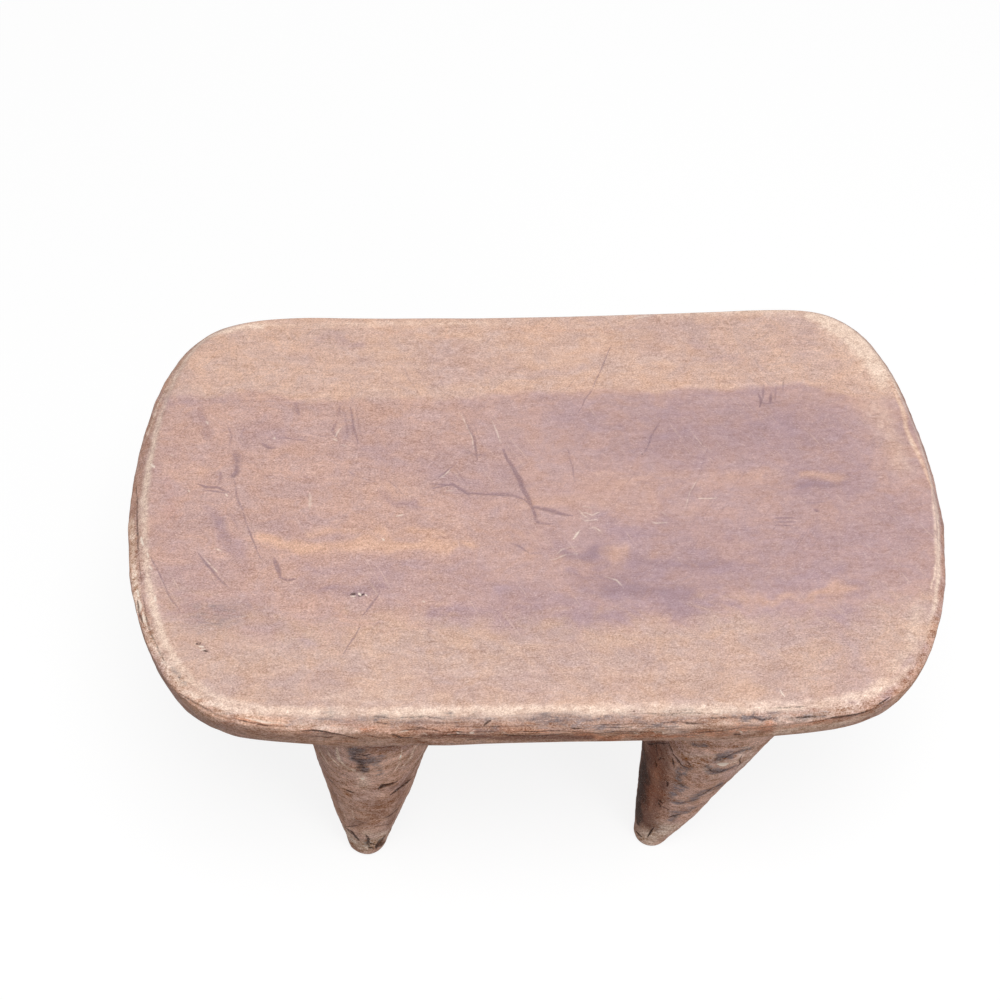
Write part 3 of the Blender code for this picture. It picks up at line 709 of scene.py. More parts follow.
# Left leg: bruised tip
LEFT_LEG_TIP = marks(
    (PALE, 24, 0.8, (352, 838), (362, 846), (374, 842)),
    (PALE, 12, 0.6, (366, 832), (382, 834)),
    (SPLIT, 3.8, 0.95, (346, 828), (351, 831), (354, 835), (359, 840)),
    (SPLIT, 2.8, 0.95, (348, 829), (354, 831)),
    (SPLIT, 3, 0.95, (367, 834), (368, 840), (369, 846)),
    (SPLIT, 2.4, 0.95, (368, 842), (372, 844), (376, 844)),
    (SPLIT, 3, 0.95, (368, 847), (373, 848)),
    (SPLIT, 3.6, 0.95, (385, 835), (382, 840), (378, 846)),
    (SPLIT, 3.6, 0.95, (379, 841), (376, 849)),
)

LEFT_LEG_MARKS = [
    *LEFT_LEG_PATCH_AND_SHADOW,
    *LEFT_LEG_RINGS,
    *LEFT_LEG_CRACKS,
    *LEFT_LEG_TIP,
]

# Right leg: dark reddish facet on its left, a reddish stain with painted shade
RIGHT_LEG_SHADED_FACET = marks(
    (UMBER, 26, 0.95, (652, 743), (648, 785), (643, 820)),
    (UMBER, 18, 1.3, (642, 745), (641, 785), (639, 820)),
    (SOOT_AND_SHADE, 16, 0.8, (643, 750), (641, 770), (639, 795), (638, 820)),
    (SOOT_AND_SHADE, 8, 1.1, (641, 765), (640, 785), (638, 812), (638, 822)),
    (UMBER, 18, 0.75, (665, 745), (660, 785), (652, 815)),
    (RUST, 20, 0.8, (655, 750), (652, 775), (649, 805)),
    (LINE, 2, 0.7, (656, 742), (656, 749), (657, 757)),
    # Painted shadow line just under the seat's edge
    (LINE, 2, 0.6, (646, 744), (658, 743), (668, 743)),
)

# Right leg: cracks in the middle
RIGHT_LEG_CRACKS = marks(
    (ADZE_CUT, 2.2, 0.9, (669, 742), (671, 747), (673, 751)),
    (ADZE_CUT, 2.2, 0.95, (673, 752), (677, 758), (681, 764), (688, 767)),
    (ADZE_CUT, 2, 0.7, (672, 756), (673, 764), (674, 770)),
    (ADZE_CUT, 2, 0.75, (654, 759), (656, 764), (655, 768)),
    (ADZE_CUT, 1.6, 0.7, (657, 761), (660, 757), (664, 758), (667, 763)),
    (ADZE_CUT, 1.8, 0.5, (680, 746), (685, 751)),
    (ADZE_CUT, 1.8, 0.6, (682, 757), (687, 760), (692, 766)),
    (ADZE_CUT, 2.4, 0.75, (663, 780), (667, 784), (666, 788)),
    (ADZE_CUT, 1.6, 0.5, (661, 788), (668, 790)),
    (ADZE_CUT, 2.8, 0.85, (656, 799), (660, 801), (663, 804)),
    (ADZE_CUT, 2.8, 0.75, (659, 803), (661, 807)),
    (ADZE_CUT, 2.4, 0.75, (663, 806), (666, 809), (669, 810)),
    (SOOT_AND_SHADE, 10, 0.3, (660, 797), (666, 809)),
)

# Right leg: grey patches on its right
RIGHT_LEG_PATCHES = marks(
    (GREY, 12, 0.7, (684, 766), (678, 780), (675, 796)),
    (GREY, 8, 0.8, (683, 767), (689, 773)),
    (GREY, 6, 0.9, (694, 743), (704, 744)),
    (GREY, 11, 0.9, (722, 761), (730, 756), (738, 752), (746, 750)),
    (GREY, 7, 1, (720, 756), (729, 757)),
    (GREY, 10, 0.85, (706, 768), (713, 771), (720, 771), (728, 767)),
    (SOOT_AND_SHADE, 5, 0.4, (724, 758), (732, 755), (740, 751)),
    (SOOT_AND_SHADE, 5, 0.3, (708, 769), (716, 772), (724, 769)),
    (GREY, 13, 0.75, (680, 803), (690, 801), (701, 797), (709, 791), (718, 787), (724, 783)),
    (GREY, 12, 0.7, (669, 817), (677, 814), (687, 811), (695, 808)),
    (PALE, 14, 0.4, (690, 756), (712, 757), (736, 762), (748, 748)),
    (UMBER, 12, 0.4, (672, 775), (668, 795), (664, 812)),
    (LINE, 2.2, 0.6, (725, 758), (733, 754), (743, 750)),
    (LINE, 1.8, 0.7, (707, 767), (712, 771), (717, 772)),
    (LINE, 1.8, 0.6, (712, 769), (720, 772), (726, 768)),
    (FINE_LINE, 1.4, 0.5, (700, 747), (714, 749), (724, 753)),
    (LINE, 1.5, 0.8, (741, 756), (740, 763), (733, 773)),
    (LINE, 1.5, 0.55, (732, 749), (744, 748), (758, 743)),
    (LINE, 1.8, 0.6, (680, 804), (690, 802), (700, 799)),
    (CRACK, 2.6, 0.65, (697, 797), (706, 793), (714, 787)),
    (LINE, 1.8, 0.6, (706, 790), (716, 787), (724, 783)),
    (CRACK, 2.6, 0.75, (669, 817), (675, 815), (681, 814)),
    (LINE, 1.6, 0.6, (682, 812), (690, 811), (697, 807)),
    (FINE_LINE, 1.4, 0.4, (690, 780), (704, 782), (716, 778)),
    (FLECK, 4, 2.4, (719, 764), (723, 764), (727, 763)),
)

# Right leg: painted light on its right edge, and bruised tip
RIGHT_LEG_LIT_EDGE_AND_TIP = marks(
    # Painted light on the right leg's lit right side
    (PALE, 10, 0.4, (757, 747), (738, 770)),
    (PALE, 6, 0.3, (716, 794), (690, 818)),
    (PALE, 16, 0.3, (698, 757), (716, 778)),
    (PALE, 22, 0.75, (644, 838), (656, 835), (668, 827)),
    (ADZE_CUT, 3.8, 0.95, (636, 832), (638, 834), (640, 836)),
    (ADZE_CUT, 2.4, 0.9, (636, 838), (638, 842)),
    (ADZE_CUT, 1.8, 0.85, (647, 838), (650, 831), (654, 827)),
    (ADZE_CUT, 1.6, 0.6, (655, 830), (658, 833), (662, 834)),
    (ADZE_CUT, 1.6, 0.6, (658, 826), (664, 829)),
    (ADZE_CUT, 1.8, 0.6, (651, 843), (656, 842)),
)

RIGHT_LEG_MARKS = [
    *RIGHT_LEG_SHADED_FACET,
    *RIGHT_LEG_CRACKS,
    *RIGHT_LEG_PATCHES,
    *RIGHT_LEG_LIT_EDGE_AND_TIP,
]

LEG_MARKS = {"left": LEFT_LEG_MARKS, "right": RIGHT_LEG_MARKS}

# Colours before the lines and specks: red, green and blue from 0 to 255
LEFT_HEARTWOOD = (204, 167, 156)
RIGHT_HEARTWOOD = (197, 162, 156)
BACK_SAPWOOD = (218, 182, 165)
FRONT_SAPWOOD = (211, 177, 161)
SEAT_SIDE = (188, 146, 124)
LEG_WOOD = (210, 166, 145)
VIOLET_STAIN = (170, 142, 151)
EMBER_STREAK = (225, 180, 154)
RUST_STREAK = (202, 130, 94)
# Pale of rubbed wood, also the colour of the painted highlights on the rim
RUBBED_WOOD_AND_HIGHLIGHT = (248, 220, 200)
GREY_WEATHER = (112, 100, 102)
TOP_CUT = (132, 106, 116)
# Umber stain, also used as painted shade under the seat and on the right leg's left facet
UMBER_STAIN_AND_SHADE = (102, 54, 36)
FRESH_WOOD = (253, 236, 220)
DARK_CRACK = (50, 28, 20)

# Tints of the mottling, as shares of red, green and blue
COOL_TINT = (0.955, 0.985, 1.045, 1)
WARM_TINT = (1.045, 1.010, 0.955, 1)

# How much the light and dark lines change red, green and blue: alike to the eye, so they stay neutral
LINE_GAINS = (1.0, 1.2, 1.3)
SIDE_LINE_GAINS = (1.0, 1.3, 1.55)
DEEPEST_LINE = -0.62

# Noises of the wood: their cycles in a metre along each axis, detail, roughness, distortion and offset
WOOD_NOISES = {
    "drift": ((7, 9, 9), 2, 0.6),
    "fibres": ((60, 420, 420), 5, 0.7, 0.5),
    "fine": ((420, 1000, 1000), 3, 0.75),
    "stipple": ((820, 1200, 1200), 1, 0.8),
    "flecks": ((190, 260, 260), 3, 0.7, 0.5),
    "mottle": ((42, 60, 60), 4, 0.6, 0.8),
    "clouds": ((14, 26, 26), 3, 0.55, 0, 7.3),
    "hue": ((48, 62, 62), 5, 0.7, 0.6, 3.7),
    "streaks": ((28, 300, 300), 5, 0.7, 0.6, 5.1),
}

# Growth rings along the log and out from its middle, checks that also turn round it, and fine
# scuffs and scores that cross the grain
RINGS = ((4, 230, 1), 4, 0.7)
CHECKS = ((5, 22, 3), 4, 0.7, 0.4)
SCUFFS = ((30, 900, 900), 2, 0.6, 0.3)
SCUFF_ANGLE = 62
SCORES = ((25, 800, 800), 2, 0.6, 0.3)
SCORE_ANGLE = -55

# Sums of those noises, each noise with its weight
RAGGED = {"flecks": 0.8, "fine": 1.2}
BRUSHED = {"fibres": 1.0, "flecks": 0.7}
TOP_DOTS = {"stipple": 1.1}
TOP_LINES = {"fine": 0.35, "flecks": 0.5, "fibres": 0.4, "rings": 0.22, "mottle": 0.3}
SIDE_LINES = {"fine": 1.3, "stipple": 1.9, "flecks": 1.2, "rings": 0.9, "mottle": 1.7}
END_LINES = {"rings": 2.3, "checks": 1.3, "fine": 1.2, "stipple": 1.4, "mottle": 1.2}
SPLIT_LINES = {"fibres": 1.0, "mottle": 0.8}
SPARK_DOTS = {"stipple": 1.0, "fine": 1.0}
RELIEF = {"fibres": 1.0, "fine": 0.4, "stipple": 0.3, "rings": 0.3, "flecks": 0.5}

# How each mask breaks up: its noise, the noise's gain, and the values from bare to fully painted
MASK_BREAKUP = {
    "violet": ("mottle", 2.5, (0.0, 1.0)),
    "ember": ("mottle", 1.0, (0.0, 1.0)),
    "pale": ("flecks", 2.0, (0.0, 1.0)),
    "rust": ("ragged", 3.2, (0.05, 0.9)),
    "umber": ("mottle", 1.5, (0.0, 1.0)),
    "grey": ("brushed", 4.0, (0.1, 0.9)),
    "cut": ("ragged", 2.5, (0.0, 1.0)),
    "dark": ("ragged", 3.0, (0.05, 0.75)),
    "chip": ("ragged", 1.5, (0.05, 0.8)),
}

# The most that each paint covers of what lies under it
COVER = {
    "edge": 0.3,
    "side": 0.85,
    "clouds": 0.25,
    "violet": 0.8,
    "ember": 0.8,
    "pale": 0.9,
    "rust": 0.72,
    "umber": 0.8,
    "grey": 0.85,
    "scuffs": 0.25,
    "scores": 0.22,
    "cut": 0.62,
    "dark": 0.9,
    "chip": 0.85,
}

# Values of the noises from no effect to the full one
HUE_VALUES = (0.34, 0.66)
EDGE_CLOUDS = (0.40, 0.60)
VIOLET_CLOUDS = (0.48, 0.68)
EMBER_CLOUDS = (0.46, 0.28)
WORN_CLOUDS = (0.45, 0.60)
STREAK_VALUES = (0.50, 0.66)
THIN_LINE_VALUES = (0.62, 0.72)
SPLIT_VALUES = (0.10, 0.26)
SPARK_VALUES = (0.16, 0.32)

# Specks of fresh wood: their share everywhere and what is added where the wood is rubbed or rusty.
# The top has fewer dots on the right heartwood, by this share
EVEN_SPARKS = 0.22
FRAYED_SPARKS = 0.30
CALMING = 0.5

# Gloss, and the height of the fine relief
TOP_ROUGHNESS = 0.42
FIBRE_ROUGHNESS = 0.25
SIDE_ROUGHNESS = 0.15
RUB_GLOSS = 0.08
TOP_RELIEF = 0.8
SIDE_RELIEF = 2.4
BUMP_STRENGTH = 0.4
BUMP_DEPTH = 0.0008


def camera_axes():
    """Find the camera's right, up and forward directions."""
    forward = (CAMERA_AIM - CAMERA_PLACE).normalized()
    level_right = forward.cross(Vector((0, 0, 1))).normalized()
    level_up = level_right.cross(forward)
    cosine = math.cos(CAMERA_ROLL)
    sine = math.sin(CAMERA_ROLL)
    right = cosine * level_right + sine * level_up
    up = cosine * level_up - sine * level_right
    return right, up, forward


def pixel_ray(pixel):
    """Find the direction from the camera through a pixel of the photograph."""
    right, up, forward = camera_axes()
    across = (pixel[0] - PHOTO_SIZE / 2) / FOCAL_PIXELS
    down = (pixel[1] - PHOTO_SIZE / 2) / FOCAL_PIXELS
    return (forward + across * right - down * up).normalized()


def signed_power(values, powers):
    """Raise numbers to a power and keep their signs."""
    return np.sign(values) * np.abs(values) ** powers


def by_corner(cosines, sines, table):
    """Pick each direction's value from a table of the seat's four corners."""
    x_sides = np.where(cosines >= 0, 1, -1)
    y_sides = np.where(sines >= 0, 1, -1)
    picked = np.zeros(len(cosines))
    for (x_side, y_side), value in table.items():
        picked[(x_sides == x_side) & (y_sides == y_side)] = value
    return picked


def outline(angles, inset):
    """Place points of the seat's outline at some angles, drawn in by an inset."""
    cosines = np.cos(angles)
    sines = np.sin(angles)
    side_powers = by_corner(cosines, sines, SIDE_POWERS)
    end_powers = by_corner(cosines, sines, END_POWERS)
    x = (SEAT_LENGTH / 2 - inset) * signed_power(cosines, 2 / side_powers)
    waist = WAIST_DEPTH * np.cos(math.pi * x / SEAT_LENGTH) ** 2
    run_out = np.where(sines > 0, BACK_RUN_OUT * 2 * x / SEAT_LENGTH, 0)
    y = (SEAT_WIDTH / 2 - waist + run_out - inset) * signed_power(sines, 2 / end_powers)
    return np.column_stack((x, y))


def rim_widths(angles):
    """Say how wide the worn edge is at some angles, as a share of the front's."""
    across = np.where(np.cos(angles) > 0, RIM_RIGHT_WIDTH, RIM_LEFT_WIDTH)
    along = np.where(np.sin(angles) > 0, RIM_BACK_WIDTH, RIM_FRONT_WIDTH)
    return across * np.cos(angles) ** 2 + along * np.sin(angles) ** 2


def length_shares(angles):
    """Say how far along the seat some angles lie, from 0 in the middle to 1 at the ends."""
    cosines = np.cos(angles)
    return np.abs(cosines) ** (2 / by_corner(cosines, np.sin(angles), SIDE_POWERS))


def brow_drops(angles):
    """Say how far below the top the brow lies at some angles: it rises at the corners."""
    rise = FRONT_BROW_RISE * np.clip(-2 * np.sin(angles), 0, 1)
    rise += BACK_BROW_RISE * np.clip(2 * np.sin(angles), 0, 1)
    reached = np.clip((length_shares(angles) - BROW_RISE_FROM) / (BROW_RISE_TO - BROW_RISE_FROM), 0, 1)
    return RIM_BROW_DROP * (1 - rise * reached)


def rim_row(angles, curve, row):
    """Find a rim row's insets and drops at some angles.

    The worn edge has its own width on each side of the seat, and the front curls under at its ends.
    """
    inset, drop = curve[row]
    brow = brow_drops(angles)
    if drop < RIM_BROW_DROP:
        return inset * rim_widths(angles), drop * brow / RIM_BROW_DROP
    drops = brow + (drop - RIM_BROW_DROP) / (SEAT_THICKNESS - RIM_BROW_DROP) * (SEAT_THICKNESS - brow)
    wall = curve[curve[:, 1] >= RIM_BROW_DROP]
    insets = np.interp(drops, wall[:, 1], wall[:, 0])
    curl_share = np.clip((drops - RIM_BROW_DROP) / (SEAT_THICKNESS - RIM_BROW_DROP), 0, 1)
    front = np.maximum(-np.sin(angles), 0)
    curl = np.exp(-(((length_shares(angles) - CURL_PLACE) / CURL_SPREAD) ** 2))
    return insets + FRONT_CURL * curl_share * front * curl, drops


def outline_angles(shares):
    """Turn shares of the way round the seat's outline into angles."""
    angles = np.linspace(0, 2 * math.pi, OUTLINE_WALK_STEPS + 1)
    walk = outline(angles, 0)
    steps = np.linalg.norm(np.diff(walk, axis=0), axis=1)
    reach = np.concatenate(([0], np.cumsum(steps)))
    return np.interp(shares * reach[-1], reach, angles)


def saddle_drop(x):
    """Say how far the top lies below its raised ends, at places along the seat."""
    top_reach = SEAT_LENGTH / 2 - ARRIS_INSET
    return SADDLE_DEPTH * (1 - np.minimum(np.abs(x) / top_reach, 1) ** 2)


def rim_curve(rows):
    """Round the rim's profile into evenly numbered points, through its own points."""
    knots = np.array(RIM_PROFILE)
    ends = np.vstack((2 * knots[0] - knots[1], knots, 2 * knots[-1] - knots[-2]))
    points = []
    for place in np.linspace(0, len(knots) - 1, rows):
        i = min(int(place), len(knots) - 2)
        t = place - i
        a, b, c, d = ends[i : i + 4]
        bend = (2 * a - 5 * b + 4 * c - d) * t + (3 * b - a - 3 * c + d) * t * t
        points.append(b + ((c - a) + bend) * t / 2)
    return np.array(points)


def border_loop(columns, rows):
    """List a grid's border places, counter-clockwise from its lower right corner."""
    right = [(columns, j) for j in range(rows)]
    top = [(i, rows) for i in range(columns, 0, -1)]
    left = [(0, j) for j in range(rows, 0, -1)]
    bottom = [(i, 0) for i in range(columns)]
    return right + top + left + bottom


def grid_shape(columns, rows):
    """Give each place of a grid its share of the way out from the middle, and its angle."""
    i, j = np.meshgrid(np.arange(columns + 1), np.arange(rows + 1))
    u = 2 * i.ravel() / columns - 1
    v = 2 * j.ravel() / rows - 1
    out = np.maximum(np.abs(u), np.abs(v))
    safe = np.maximum(out, 1e-9)
    length = SEAT_LENGTH
    width = SEAT_WIDTH
    across = u / safe * length
    along = v / safe * width
    right_side = along
    back_side = width + length - across
    left_side = 2 * width + 2 * length - along
    front_side = 3 * width + 3 * length + across
    sides = [across >= length, along >= width, across <= -length]
    walked = np.select(sides, [right_side, back_side, left_side], front_side)
    return out, outline_angles((walked / (4 * length + 4 * width)) % 1)


def grid_faces(columns, rows, first):
    """List a grid's faces, counted from the number of its first point."""
    faces = []
    for j in range(rows):
        for i in range(columns):
            a = first + j * (columns + 1) + i
            faces.append((a, a + 1, a + columns + 2, a + columns + 1))
    return faces


def even_count(length, step):
    """Say how many steps fit a length, as an even number."""
    return 2 * round(length / step / 2)


def seat_shell():
    """Make the seat's smooth shape: a fine grid on top, the rim in rows and a coarser grid below."""
    columns = even_count(SEAT_LENGTH, TOP_STEP)
    rows = even_count(SEAT_WIDTH, TOP_STEP)
    curve = rim_curve(RIM_ROWS)
    out, angles = grid_shape(columns, rows)
    top = outline(angles, rim_row(angles, curve, 0)[0]) * out[:, None]
    levels = STOOL_HEIGHT - saddle_drop(top[:, 0])
    points = [np.column_stack((top, levels))]
    faces = grid_faces(columns, rows, 0)
    loop = [j * (columns + 1) + i for i, j in border_loop(columns, rows)]
    loop_angles = angles[loop]
    count = len(top)
    for row in range(1, len(curve)):
        insets, drops = rim_row(loop_angles, curve, row)
        ring = outline(loop_angles, insets)
        saddle_shares = 1 - (drops / SEAT_THICKNESS) ** 2
        level = STOOL_HEIGHT - drops - saddle_shares * saddle_drop(ring[:, 0])
        points.append(np.column_stack((ring, level)))
        below = list(range(count, count + len(loop)))
        for k in range(len(loop)):
            n = (k + 1) % len(loop)
            faces.append((loop[k], below[k], below[n], loop[n]))
        loop = below
        count += len(loop)
    columns //= 2
    rows //= 2
    out, angles = grid_shape(columns, rows)
    bottom = outline(angles, rim_row(angles, curve, -1)[0] + TOP_STEP) * out[:, None]
    points.append(np.column_stack((bottom, np.full(len(bottom), UNDERSIDE_Z))))
    faces += grid_faces(columns, rows, count)
    inner = [count + j * (columns + 1) + i for i, j in border_loop(columns, rows)]
    for k, here in enumerate(inner):
        after = inner[(k + 1) % len(inner)]
        a = loop[2 * k]
        b = loop[2 * k + 1]
        c = loop[(2 * k + 2) % len(loop)]
        faces += [(a, b, here), (b, after, here), (b, c, after)]
    return np.vstack(points), faces


def leg_shell(name):
    """Make a leg's smooth shape, from its foot up the taper and the flare into the seat."""
    low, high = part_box(name)
    side = name.split("_")[-1]
    root = np.array(((low.x + high.x) / 2 + ROOT_SHIFT[side], (low.y + high.y) / 2))
    foot = foot_place(name) + np.array((FOOT_SHIFT[side], 0))
    neck = np.array(((high.x - low.x) / 2, (high.y - low.y) / 2)) - ROOT_OVERHANG
    neck += np.array(ROOT_GROWTH[side])
    tip = LEG_TIP_RADIUS[side]
    turns = 2 * math.pi * np.arange(LEG_SIDES) / LEG_SIDES
    circle = np.column_stack((np.cos(turns), np.sin(turns)))
    top = UNDERSIDE_Z + ROOT_SINK
    rings = []
    for k in range(1, FOOT_RINGS + 1):
        rings.append((0, np.full(2, FOOT_RADIUS * k / FOOT_RINGS), 0))
    for level in np.linspace(0, top, LEG_ROWS)[1:]:
        share = max(level - LEG_TIP_ROUNDING, 0) / (UNDERSIDE_Z - LEG_TIP_ROUNDING)
        half = tip + share * (neck - tip)
        half += LEG_BELLY[side] * math.sin(math.pi * min(share, 1))
        if level < LEG_TIP_ROUNDING:
            rise = 1 - level / LEG_TIP_ROUNDING
            half = FOOT_RADIUS + (half - FOOT_RADIUS) * math.sqrt(1 - rise * rise)
        flare = min(max(level - UNDERSIDE_Z + LEG_FLARE_HEIGHT, 0) / LEG_FLARE_HEIGHT, 1) ** 2
        rings.append((level, half + LEG_FLARE_WIDTH[side] * flare, LEG_FLARE_SHIFT[side] * flare))
    points = [np.array((*foot, 0))[None]]
    for level, half, shift in rings:
        centre = foot + (root - foot) * min(level / UNDERSIDE_Z, 1) + np.array((shift, 0))
        ring = centre + circle * half
        points.append(np.column_stack((ring, np.full(LEG_SIDES, level))))
    points.append(np.array((*root, top))[None])
    faces = []
    last = 1 + LEG_SIDES * len(rings)
    for i in range(LEG_SIDES):
        j = (i + 1) % LEG_SIDES
        faces.append((0, 1 + j, 1 + i))
        for k in range(len(rings) - 1):
            a = 1 + k * LEG_SIDES
            faces.append((a + i, a + j, a + LEG_SIDES + j, a + LEG_SIDES + i))
        faces.append((last, last - LEG_SIDES + i, last - LEG_SIDES + j))
    return np.vstack(points), faces


def foot_place(name):
    """Find the middle of a leg's foot from the record's mount for it."""
    mounts = {mount["name"]: mount["pos_m"] for mount in frame["record"]["mounts"]}
    return np.array(mounts[name.replace("leg_", "foot_")][:2])


def soft_noise(points, size, seed):
    """Give each point a smooth value from -1 to 1 that changes over a distance of one size."""
    lattice = np.random.default_rng(seed).uniform(-1, 1, (LATTICE, LATTICE, LATTICE))
    place = points / size + LATTICE
    cell = np.floor(place).astype(int)
    t = place - cell
    t = t * t * (3 - 2 * t)
    total = np.zeros(len(points))
    for corner in itertools.product((0, 1), repeat=3):
        weight = np.prod(np.where(corner, t, 1 - t), axis=1)
        i, j, k = ((cell + corner) % LATTICE).T
        total += weight * lattice[i, j, k]
    return total


def scoops(points, size, seed):
    """Give each point its depth in the shallow scoops of an adze, from 0 on their ridges to 1."""
    jitter = np.random.default_rng(seed).uniform(0, 1, (LATTICE, LATTICE, LATTICE, 3))
    place = points / size + LATTICE
    cell = np.floor(place).astype(int)
    nearest = np.full(len(points), np.inf)
    for step in itertools.product((-1, 0, 1), repeat=3):
        there = cell + step
        i, j, k = (there % LATTICE).T
        gap = np.linalg.norm(place - there - jitter[i, j, k], axis=1)
        nearest = np.minimum(nearest, gap)
    return 1 - np.minimum(nearest, 1) ** 2


def path_distance(points, path):
    """Measure how far points lie from a path, and the share of the path passed at the nearest place."""
    steps = np.linalg.norm(np.diff(path, axis=0), axis=1)
    reach = np.concatenate(([0], np.cumsum(steps)))
    nearest = np.full(len(points), np.inf)
    passed = np.zeros(len(points))
    for start, end, begun, step in zip(path, path[1:], reach, steps):
        t = np.clip((points - start) @ (end - start) / step**2, 0, 1)
        gap = np.linalg.norm(points - start - t[:, None] * (end - start), axis=1)
        closer = gap < nearest
        nearest[closer] = gap[closer]
        passed[closer] = (begun + t[closer] * step) / reach[-1]
    return nearest, passed


def trace_marks(described, points, faces):
    """Lay marks on a piece: each path in pixels becomes a path of points on its surface."""
    surface = BVHTree.FromPolygons(points.tolist(), faces)
    traced = []
    for mark in described:
        hits = [surface.ray_cast(CAMERA_PLACE, pixel_ray(pixel))[0] for pixel in mark.pixels]
        path = [np.array(hit) for hit in hits if hit is not None]
        if len(path) > 1:
            traced.append((mark, np.array(path)))
    return traced


def mirror_marks(traced, points, faces):
    """Carry marks over to the piece behind: mirrored front to back, and put down on its surface."""
    surface = BVHTree.FromPolygons(points.tolist(), faces)
    mirrored = []
    for mark, path in traced:
        there = [surface.find_nearest(Vector(place * np.array((1, -1, 1))))[0] for place in path]
        mirrored.append((mark, np.array(there)))
    return mirrored


def near_box(points, path, reach):
    """Pick the points that lie within reach of a path's box."""
    low = path.min(axis=0) - reach
    high = path.max(axis=0) + reach
    return np.flatnonzero(np.all((points > low) & (points < high), axis=1))


def refine(bm, traced):
    """Divide the faces more finely along the narrow marks, and leave none with more than four sides."""
    for reach in MARK_REFINEMENTS:
        bm.edges.ensure_lookup_table()
        ends = np.array([(*e.verts[0].co, *e.verts[1].co) for e in bm.edges])
        middles = (ends[:, :3] + ends[:, 3:]) / 2
        chosen = set()
        for mark, path in traced:
            if mark.width > NARROW_MARK:
                continue
            near = near_box(middles, path, mark.width + reach)
            gaps = path_distance(middles[near], path)[0]
            chosen.update(near[gaps < mark.width / 2 + reach])
        edges = [bm.edges[i] for i in sorted(chosen)]
        bmesh.ops.subdivide_edges(bm, edges=edges, cuts=1, use_grid_fill=True)
    many_sided = [face for face in bm.faces if len(face.verts) > 4]
    bmesh.ops.triangulate(bm, faces=many_sided, ngon_method="EAR_CLIP")


def wander(points, size, distance):
    """Shift points about, so that what is measured on them looks irregular."""
    shifts = [soft_noise(points, size, seed) for seed in WANDER_SEEDS]
    return points + distance * np.column_stack(shifts)


def wander_of(mark):
    """Say over what distance a mark wanders about its path, and how far."""
    if mark.width <= NARROW_MARK:
        return NARROW_WANDER
    return WANDER_SIZE * mark.width, WANDER_REACH.get(mark.mask, FULL_WANDER) * mark.width


def lay_marks(points, traced):
    """Work out each point's masks and how deep the marks cut there, with a low lip beside each cut."""
    masks = {name: np.zeros(len(points)) for name in MASKS}
    depth = np.zeros(len(points))
    for mark, path in traced:
        near = near_box(points, path, 2 * mark.width)
        gaps, passed = path_distance(wander(points[near], *wander_of(mark)), path)
        thinned = np.sin(math.pi * np.clip(passed, MARK_END, 1 - MARK_END)) ** MARK_THINNING
        fade = thinned if mark.width <= NARROW_MARK else 1
        wide = mark.width / 2 * fade
        mask = mark.strength * np.exp(-((gaps / wide) ** 2))
        masks[mark.mask][near] = np.maximum(masks[mark.mask][near], mask)
        bowl = np.maximum(1 - (gaps / wide) ** 2, 0)
        lip = LIP_HEIGHT * np.exp(-(((gaps - LIP_PLACE * wide) / (LIP_WIDTH * wide)) ** 2))
        depth[near] += mark.depth * fade * (bowl - lip)
    return masks, depth


def build_piece(name, shell, traced, surface):
    """Build one wooden piece: its shape, the marks on it, its carved relief and its masks."""
    points, faces = shell
    bm = bmesh.new()
    verts = [bm.verts.new(point) for point in points]
    for face in faces:
        bm.faces.new([verts[i] for i in face])
    refine(bm, traced)
    bmesh.ops.recalc_face_normals(bm, faces=bm.faces)
    mesh = bpy.data.meshes.new(name)
    bm.to_mesh(mesh)
    bm.free()
    places = np.zeros(len(mesh.vertices) * 3)
    mesh.vertices.foreach_get("co", places)
    places = places.reshape(-1, 3)
    normals = np.zeros(len(mesh.vertices) * 3)
    mesh.vertex_normals.foreach_get("vector", normals)
    normals = normals.reshape(-1, 3)
    masks, depth = lay_marks(places, traced)
    moved = places + normals * (surface(places, normals, masks) - depth)[:, None]
    mesh.vertices.foreach_set("co", moved.ravel())
    for mask, values in masks.items():
        mesh.attributes.new(mask, "FLOAT", "POINT").data.foreach_set("value", values)
    mesh.shade_smooth()
    mesh.update()
    piece = bpy.data.objects.new(name, mesh)
    bpy.context.scene.collection.objects.link(piece)
    return piece


def waves(points, height, size, squeeze, seed):
    """Give points the heights of a smooth unevenness."""
    return height * soft_noise(points * squeeze, size, seed)


def facets(points, height, size, squeeze, seed):
    """Give points the heights of the flats that an adze leaves."""
    return height * (SCOOP_MEAN_SHARE - scoops(points * squeeze, size, seed))


def share_between(values, low, high):
    """Say how far values have come from a low to a high one, from 0 to 1."""
    return np.clip((values - low) / (high - low), 0, 1)


def end_grain(normals):
    """Say how squarely surfaces cross the log's fibres, where its growth rings show."""
    return share_between(np.abs(normals[:, 0]), *END_GRAIN_SPAN)


def edge_place(points):
    """Say how far points near the seat's outline lie in from it, and at which angle they lie."""
    x, y = points[:, 0], points[:, 1]
    side_powers = by_corner(x, y, SIDE_POWERS)
    end_powers = by_corner(x, y, END_POWERS)
    x_share = np.minimum(np.abs(x) / (SEAT_LENGTH / 2), 1)
    y_share = np.minimum(np.abs(y) / (SEAT_WIDTH / 2), 1)
    x_filled = x_share**side_powers
    y_filled = y_share**end_powers
    x_slope = side_powers / (SEAT_LENGTH / 2) * x_share ** (side_powers - 1)
    y_slope = end_powers / (SEAT_WIDTH / 2) * y_share ** (end_powers - 1)
    inset = (1 - x_filled - y_filled) / np.maximum(np.hypot(x_slope, y_slope), 1)
    angles = np.arctan2(np.sign(y) * np.sqrt(y_filled), np.sign(x) * np.sqrt(x_filled))
    return inset, angles


